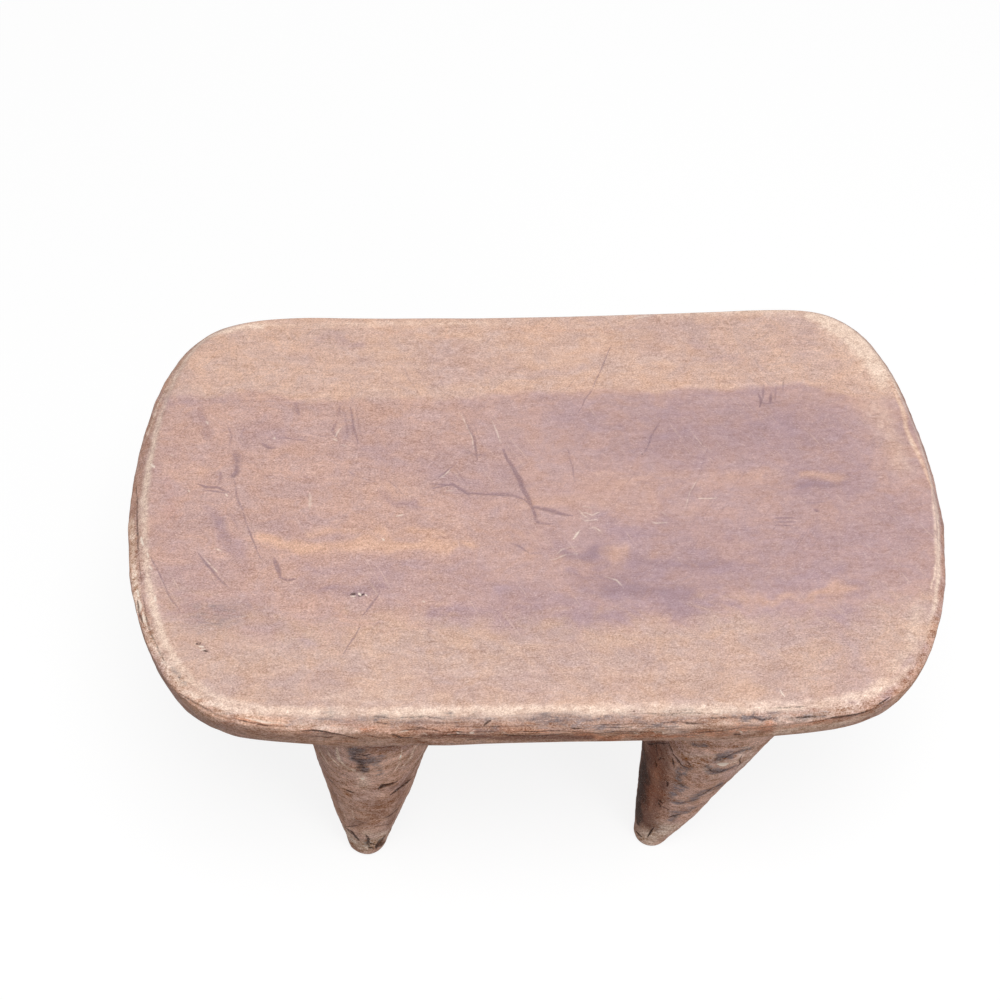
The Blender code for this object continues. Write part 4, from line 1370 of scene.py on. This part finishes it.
def seat_masks(points, masks):
    """Rub the arris pale with a painted highlight all round, and mark the sides that use hasn't polished.
    """
    inset, angles = edge_place(points)
    width = rim_widths(angles)
    drop = STOOL_HEIGHT - saddle_drop(points[:, 0]) - points[:, 2]
    fallen = drop / brow_drops(angles) + waves(points, *SIDE_BORDER)
    upper = share_between(fallen, *UPPER_SIDE_SPAN)
    lower = share_between(fallen, *LOWER_SIDE_SPAN)
    masks["side"] = UPPER_SIDE_SHARE * upper + (1 - UPPER_SIDE_SHARE) * lower
    # The pale ring along the arris is rubbed wear with a painted highlight
    shift = np.interp(points[:, 0], RUB_HIGHLIGHT_SHIFT_PLACES, RUB_HIGHLIGHT_SHIFTS) * np.maximum(-np.sin(angles), 0)
    centre = RUB_HIGHLIGHT_PLACE * width + shift
    ring = np.exp(-(((inset - centre) / (RUB_HIGHLIGHT_SPREAD * width)) ** 2)) * (1 - upper)
    masks["pale"] = np.maximum(masks["pale"], (RUB_HIGHLIGHT_STRENGTH + waves(points, *RUB_HIGHLIGHT_UNEVENNESS)) * ring)


def seat_surface(points, normals, masks):
    """Complete the seat's masks, and say how far its surface stands out from the smooth shape."""
    seat_masks(points, masks)
    masks["end"] = end_grain(normals)
    worn = np.clip(normals[:, 2], 0, 1) ** 2
    smooth = waves(points, *SEAT_WAVES) + waves(points, *SEAT_RIPPLES)
    carved = facets(points, *SEAT_FACETS) + waves(points, *SEAT_FIBRES)
    return worn * smooth + (1 - worn) * carved


def leg_surface(points, normals, masks):
    """Leave a leg unpolished all over, and say how far its surface stands out from the smooth shape."""
    masks["side"] = np.ones(len(points))
    masks["end"] = end_grain(normals)
    level = points[:, 2]
    fade = share_between(level, UNDERSIDE_Z, UNDERSIDE_Z - ROOT_FADE) * share_between(level, 0, FOOT_FADE)
    return fade * (facets(points, *LEG_FACETS) + waves(points, *LEG_FIBRES) + waves(points, *LEG_WAVES))


def leg_marks(name, shell):
    """Lay a leg's marks on it. A back leg has those of the leg in front of it, mirrored."""
    front = name.replace("back", "front")
    side = name.split("_")[-1]
    if name == front:
        return trace_marks(LEG_MARKS[side], *shell)
    return mirror_marks(trace_marks(LEG_MARKS[side], *leg_shell(front)), *shell)


def linear(colour):
    """Turn a colour from 0 to 255, as screens show it, into linear light."""
    parts = [part / 255 for part in colour]
    return (*[p / 12.92 if p <= 0.04045 else ((p + 0.055) / 1.055) ** 2.4 for p in parts], 1)


def add_node(tree, kind, inputs=None, **settings):
    """Add a shader node, with its settings, and fill or link its inputs."""
    made = tree.nodes.new(kind)
    for key, value in settings.items():
        setattr(made, key, value)
    for key, value in (inputs or {}).items():
        if isinstance(value, bpy.types.NodeSocket):
            tree.links.new(value, made.inputs[key])
        else:
            made.inputs[key].default_value = value
    return made


def maths(tree, operation, *values):
    """Add a math node and give its result."""
    return add_node(tree, "ShaderNodeMath", dict(enumerate(values)), operation=operation).outputs[0]


def times(tree, first, second):
    """Multiply two numbers."""
    return maths(tree, "MULTIPLY", first, second)


def centred(tree, noise, weight, total=0.0):
    """Weigh a noise round its middle, and add it to a total."""
    return maths(tree, "MULTIPLY_ADD", maths(tree, "SUBTRACT", noise, 0.5), weight, total)


def weighted(tree, log, weights):
    """Add up the log's noises round their middle, each with its weight."""
    total = 0.0
    for name, weight in weights.items():
        total = centred(tree, getattr(log, name), weight, total)
    return total


def blend(tree, factor, first, second, kind="MIX"):
    """Mix two colours and give the result."""
    inputs = {0: factor, 6: first, 7: second}
    return add_node(tree, "ShaderNodeMix", inputs, data_type="RGBA", blend_type=kind).outputs[2]


def stain(tree, colour, tone, share, most):
    """Stain a colour with one from 0 to 255, by a share of the most that it may."""
    return blend(tree, times(tree, share, most), colour, linear(tone))


def ramp(tree, value, low, high):
    """Spread the values between a low and a high one over 0 to 1."""
    inputs = {"Value": value, "From Min": low, "From Max": high}
    return add_node(tree, "ShaderNodeMapRange", inputs, interpolation_type="SMOOTHSTEP").outputs[0]


def grain(tree, coordinates, scales, detail, roughness, distortion=0.0, offset=0.0):
    """Add noise whose features have their own size along each axis."""
    inputs = {0: coordinates, 1: scales, 2: (offset, offset, offset)}
    stretched = add_node(tree, "ShaderNodeVectorMath", inputs, operation="MULTIPLY_ADD").outputs[0]
    inputs = {"Vector": stretched, "Scale": 1.0, "Detail": detail}
    inputs.update({"Roughness": roughness, "Distortion": distortion})
    return add_node(tree, "ShaderNodeTexNoise", inputs).outputs[0]


def combined(tree, *parts):
    """Make coordinates out of three numbers."""
    return add_node(tree, "ShaderNodeCombineXYZ", dict(enumerate(parts))).outputs[0]


def turned(tree, coordinates, degrees):
    """Turn coordinates about the vertical, for marks that cross the grain."""
    inputs = {"Vector": coordinates, "Angle": math.radians(degrees)}
    return add_node(tree, "ShaderNodeVectorRotate", inputs, rotation_type="Z_AXIS").outputs[0]


def attribute(tree, name):
    """Read one of the mesh's masks."""
    return add_node(tree, "ShaderNodeAttribute", attribute_name=name).outputs["Fac"]


def mask_of(tree, log, name):
    """Read a mask from the mesh and break it up with its noise."""
    noise, gain, span = MASK_BREAKUP[name]
    read = attribute(tree, name)
    return ramp(tree, centred(tree, getattr(log, noise), times(tree, read, gain), read), *span)


def log_grain(tree):
    """Measure the log that the wood is cut from, and make its noises, sized in metres."""
    place = add_node(tree, "ShaderNodeTexCoord").outputs["Object"]
    x, y, z = add_node(tree, "ShaderNodeSeparateXYZ", {0: place}).outputs
    across = maths(tree, "SUBTRACT", y, PITH_Y)
    above = maths(tree, "SUBTRACT", z, PITH_Z)
    squares = maths(tree, "ADD", maths(tree, "POWER", across, 2.0), maths(tree, "POWER", above, 2.0))
    log = SimpleNamespace(**{name: grain(tree, place, *noise) for name, noise in WOOD_NOISES.items()})
    log.place = place
    log.x = x
    log.y = y
    log.radius = maths(tree, "ADD", maths(tree, "SQRT", squares), centred(tree, log.drift, LOG_DRIFT))
    log.rings = grain(tree, combined(tree, x, log.radius, 0.0), *RINGS)
    bearing = maths(tree, "ARCTAN2", above, across)
    log.checks = grain(tree, combined(tree, x, bearing, log.radius), *CHECKS)
    log.ragged = maths(tree, "ADD", weighted(tree, log, RAGGED), 0.5)
    log.brushed = maths(tree, "ADD", weighted(tree, log, BRUSHED), 0.5)
    log.side = attribute(tree, "side")
    log.end = attribute(tree, "end")
    return log


def log_colour(tree, log):
    """Colour the heartwood and the sapwood round it, and give the heartwood's share on the right."""
    back = ramp(tree, log.y, *BACK_SPAN)
    right = ramp(tree, log.x, *RIGHT_SPAN)
    softness = maths(tree, "MULTIPLY_ADD", back, BACK_BORDER - FRONT_BORDER, FRONT_BORDER)
    outward = maths(tree, "SUBTRACT", HEARTWOOD_RADIUS, log.radius)
    outward = centred(tree, log.mottle, times(tree, softness, BORDER_UNEVENNESS), outward)
    heart = ramp(tree, maths(tree, "DIVIDE", outward, softness), -1.0, 1.0)
    heartwood = blend(tree, right, linear(LEFT_HEARTWOOD), linear(RIGHT_HEARTWOOD))
    sapwood = blend(tree, back, linear(FRONT_SAPWOOD), linear(BACK_SAPWOOD))
    colour = blend(tree, heart, sapwood, heartwood)
    edge = maths(tree, "ABSOLUTE", maths(tree, "SUBTRACT", log.radius, HEARTWOOD_RADIUS - HEART_EDGE))
    edge = times(tree, ramp(tree, edge, HEART_EDGE, 0.0), back)
    edge = times(tree, edge, ramp(tree, log.clouds, *EDGE_CLOUDS))
    return stain(tree, colour, VIOLET_STAIN, edge, COVER["edge"]), times(tree, heart, right)


def stained(tree, log, colour, rusting):
    """Add slow changes of hue, stains, weathering, painted shade and highlights, and say where the surface
    is rubbed or frayed.
    """
    tint = blend(tree, ramp(tree, log.hue, *HUE_VALUES), COOL_TINT, WARM_TINT)
    colour = blend(tree, 1.0, colour, tint, "MULTIPLY")
    colour = stain(tree, colour, VIOLET_STAIN, ramp(tree, log.clouds, *VIOLET_CLOUDS), COVER["clouds"])
    colour = stain(tree, colour, EMBER_STREAK, ramp(tree, log.clouds, *EMBER_CLOUDS), COVER["clouds"])
    colour = stain(tree, colour, VIOLET_STAIN, mask_of(tree, log, "violet"), COVER["violet"])
    colour = stain(tree, colour, EMBER_STREAK, mask_of(tree, log, "ember"), COVER["ember"])
    # Pale: rubbed wear, and painted highlights along the rim
    pale = mask_of(tree, log, "pale")
    colour = stain(tree, colour, RUBBED_WOOD_AND_HIGHLIGHT, pale, COVER["pale"])
    streaks = times(tree, ramp(tree, log.streaks, *STREAK_VALUES), times(tree, log.side, rusting))
    rust = maths(tree, "MAXIMUM", mask_of(tree, log, "rust"), streaks)
    colour = stain(tree, colour, RUST_STREAK, rust, COVER["rust"])
    # Umber: stains, and painted shade on the legs
    umber = mask_of(tree, log, "umber")
    colour = stain(tree, colour, UMBER_STAIN_AND_SHADE, umber, COVER["umber"])
    colour = stain(tree, colour, GREY_WEATHER, mask_of(tree, log, "grey"), COVER["grey"])
    return colour, pale, maths(tree, "MAXIMUM", maths(tree, "MAXIMUM", rust, umber), pale)


def lined(tree, log, colour, calm, fibrous):
    """Add lighter and darker lines and specks: fine on the worn top, strong on the sides and ends."""
    stippled = maths(tree, "MULTIPLY_ADD", calm, -CALMING, 1.0)
    top_dots = weighted(tree, log, TOP_DOTS)
    top_lines = maths(tree, "MULTIPLY_ADD", top_dots, stippled, weighted(tree, log, TOP_LINES))
    side_lines = weighted(tree, log, {"fibres": fibrous, **SIDE_LINES})
    end_lines = weighted(tree, log, END_LINES)
    rough_lines = add_node(tree, "ShaderNodeMix", {0: log.end, 2: side_lines, 3: end_lines}).outputs[0]
    rest = maths(tree, "SUBTRACT", 1.0, log.side)
    lines = maths(tree, "MULTIPLY_ADD", top_lines, rest, times(tree, rough_lines, log.side))
    lines = maths(tree, "MAXIMUM", lines, DEEPEST_LINE)
    channels = {}
    for i, (top_gain, side_gain) in enumerate(zip(LINE_GAINS, SIDE_LINE_GAINS)):
        gain = maths(tree, "MULTIPLY_ADD", log.side, side_gain - top_gain, top_gain)
        channels[i] = maths(tree, "MULTIPLY_ADD", lines, gain, 1.0)
    lines = add_node(tree, "ShaderNodeCombineColor", channels).outputs[0]
    return blend(tree, 1.0, colour, lines, "MULTIPLY")


def scarred(tree, log, colour, frayed, splits):
    """Add scuffs across the grain, scratches, dark cracks and specks of fresh wood."""
    worn = ramp(tree, log.clouds, *WORN_CLOUDS)
    scuffs = grain(tree, turned(tree, log.place, SCUFF_ANGLE), *SCUFFS)
    scuffs = times(tree, ramp(tree, scuffs, *THIN_LINE_VALUES), worn)
    colour = stain(tree, colour, RUBBED_WOOD_AND_HIGHLIGHT, scuffs, COVER["scuffs"])
    scores = grain(tree, turned(tree, log.place, SCORE_ANGLE), *SCORES)
    scores = times(tree, ramp(tree, scores, *THIN_LINE_VALUES), maths(tree, "SUBTRACT", 1.0, worn))
    colour = stain(tree, colour, TOP_CUT, scores, COVER["scores"])
    colour = stain(tree, colour, TOP_CUT, mask_of(tree, log, "cut"), COVER["cut"])
    split = ramp(tree, weighted(tree, log, SPLIT_LINES), *SPLIT_VALUES)
    split = times(tree, times(tree, log.side, split), splits)
    dark = maths(tree, "MAXIMUM", mask_of(tree, log, "dark"), split)
    colour = stain(tree, colour, DARK_CRACK, dark, COVER["dark"])
    sparks = ramp(tree, weighted(tree, log, SPARK_DOTS), *SPARK_VALUES)
    sparks = times(tree, sparks, maths(tree, "MULTIPLY_ADD", frayed, FRAYED_SPARKS, EVEN_SPARKS))
    chip = times(tree, mask_of(tree, log, "chip"), COVER["chip"])
    return blend(tree, maths(tree, "MAXIMUM", chip, sparks), colour, linear(FRESH_WOOD))


def wood_material(name, side_wood, fibrous, splits, rusting, shine):
    """Make wood that is cut from one log, with its heartwood, fibres, stains and wear.

    Its unpolished sides have their own colour, and shares of fibres, dark splits and rusty streaks.
    """
    material = bpy.data.materials.new(name)
    material.use_nodes = True
    tree = material.node_tree
    log = log_grain(tree)
    colour, calm = log_colour(tree, log)
    colour = stain(tree, colour, side_wood, log.side, COVER["side"])
    colour, pale, frayed = stained(tree, log, colour, rusting)
    colour = lined(tree, log, colour, calm, fibrous)
    colour = scarred(tree, log, colour, frayed, splits)

    # Gloss where hands and clothes polish, and fine relief
    rough = maths(tree, "MULTIPLY_ADD", log.fibres, FIBRE_ROUGHNESS, TOP_ROUGHNESS)
    rough = maths(tree, "MULTIPLY_ADD", log.side, SIDE_ROUGHNESS, rough)
    rough = maths(tree, "MULTIPLY_ADD", pale, -RUB_GLOSS, rough)
    relief = maths(tree, "MULTIPLY_ADD", log.side, SIDE_RELIEF - TOP_RELIEF, TOP_RELIEF)
    height = times(tree, weighted(tree, log, RELIEF), relief)
    inputs = {"Strength": BUMP_STRENGTH, "Distance": BUMP_DEPTH, "Height": height}
    bump = add_node(tree, "ShaderNodeBump", inputs)
    shader = tree.nodes["Principled BSDF"]
    tree.links.new(bump.outputs[0], shader.inputs["Normal"])
    tree.links.new(rough, shader.inputs["Roughness"])
    tree.links.new(colour, shader.inputs["Base Color"])
    shader.inputs["Specular IOR Level"].default_value = shine
    return material


def dress(piece, material, node):
    """Give a piece its material and put it in the place of its node."""
    piece.data.materials.append(material)
    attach(piece, "root")
    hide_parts(node)


def build_stool():
    """Build the seat and the legs."""
    seat_wood = wood_material("seat_wood", SEAT_SIDE, fibrous=1.3, splits=0.75, rusting=0.5, shine=0.25)
    leg_wood = wood_material("leg_wood", LEG_WOOD, fibrous=0.7, splits=0.15, rusting=0.15, shine=0.1)
    shell = seat_shell()
    seat = build_piece("carved_seat", shell, trace_marks(SEAT_MARKS, *shell), seat_surface)
    dress(seat, seat_wood, "seat")
    for name in LEGS:
        shell = leg_shell(name)
        leg = build_piece(f"carved_{name}", shell, leg_marks(name, shell), leg_surface)
        dress(leg, leg_wood, name)


def build_floor():
    """Lay a pale floor that stays white to the camera and takes a soft shadow."""
    bpy.ops.mesh.primitive_plane_add(size=FLOOR_SIZE)
    floor = bpy.context.object
    floor.name = "floor"
    material = bpy.data.materials.new("pale_floor")
    material.use_nodes = True
    tree = material.node_tree
    shader = tree.nodes["Principled BSDF"]
    shader.inputs["Base Color"].default_value = (FLOOR_GREY, FLOOR_GREY, FLOOR_GREY, 1)
    shader.inputs["Roughness"].default_value = FLOOR_ROUGHNESS
    shader.inputs["Specular IOR Level"].default_value = 0.0
    seen = seen_directly(tree)
    glow = add_node(tree, "ShaderNodeEmission", {"Color": (1, 1, 1, 1), "Strength": FLOOR_GLOW})
    nothing = add_node(tree, "ShaderNodeEmission", {"Strength": 0.0})
    light = add_node(tree, "ShaderNodeMixShader", {0: seen, 1: nothing.outputs[0], 2: glow.outputs[0]})
    both = add_node(tree, "ShaderNodeAddShader", {0: shader.outputs[0], 1: light.outputs[0]})
    tree.links.new(both.outputs[0], tree.nodes["Material Output"].inputs["Surface"])
    floor.data.materials.append(material)


def seen_directly(tree):
    """Tell rays from the camera, also by a reflection or through glass, from the light's own."""
    rays = add_node(tree, "ShaderNodeLightPath").outputs
    seen = maths(tree, "MAXIMUM", rays["Is Camera Ray"], rays["Is Glossy Ray"])
    return maths(tree, "MAXIMUM", seen, rays["Is Transmission Ray"])


def build_world():
    """Light the scene from all round, under a white background."""
    world = bpy.data.worlds.new("studio")
    world.use_nodes = True
    bpy.context.scene.world = world
    tree = world.node_tree
    sky = tree.nodes["Background"]
    sky.inputs["Color"].default_value = (1, 1, 1, 1)
    seen = ramp(tree, seen_directly(tree), 0.0, 1.0)
    strength = maths(tree, "MULTIPLY_ADD", seen, 1 - SKY_STRENGTH, SKY_STRENGTH)
    tree.links.new(strength, sky.inputs["Strength"])


def build_lamp(name, place, size, power):
    """Hang a wide soft lamp that faces the stool."""
    lamp = bpy.data.lights.new(name, "AREA")
    lamp.shape = "DISK"
    lamp.size = size
    lamp.energy = power
    holder = bpy.data.objects.new(name, lamp)
    holder.location = place
    holder.rotation_euler = (Vector((0, 0, STOOL_HEIGHT)) - place).to_track_quat("-Z", "Y").to_euler()
    bpy.context.scene.collection.objects.link(holder)


def build_camera():
    """Set the camera where the photograph was taken."""
    right, up, forward = camera_axes()
    data = bpy.data.cameras.new("camera")
    data.sensor_width = SENSOR_WIDTH
    data.lens = FOCAL_PIXELS / PHOTO_SIZE * SENSOR_WIDTH
    data.clip_end = CAMERA_REACH
    camera = bpy.data.objects.new("camera", data)
    turn = Matrix((right, up, -forward)).transposed().to_4x4()
    camera.matrix_world = Matrix.Translation(CAMERA_PLACE) @ turn
    bpy.context.scene.collection.objects.link(camera)
    bpy.context.scene.camera = camera


bpy.context.scene.view_settings.view_transform = "Standard"
build_camera()
build_stool()
build_floor()
build_world()
build_lamp("softbox", LAMP_PLACE, LAMP_SIZE, LAMP_POWER)
build_lamp("fill", FILL_PLACE, FILL_SIZE, FILL_POWER)
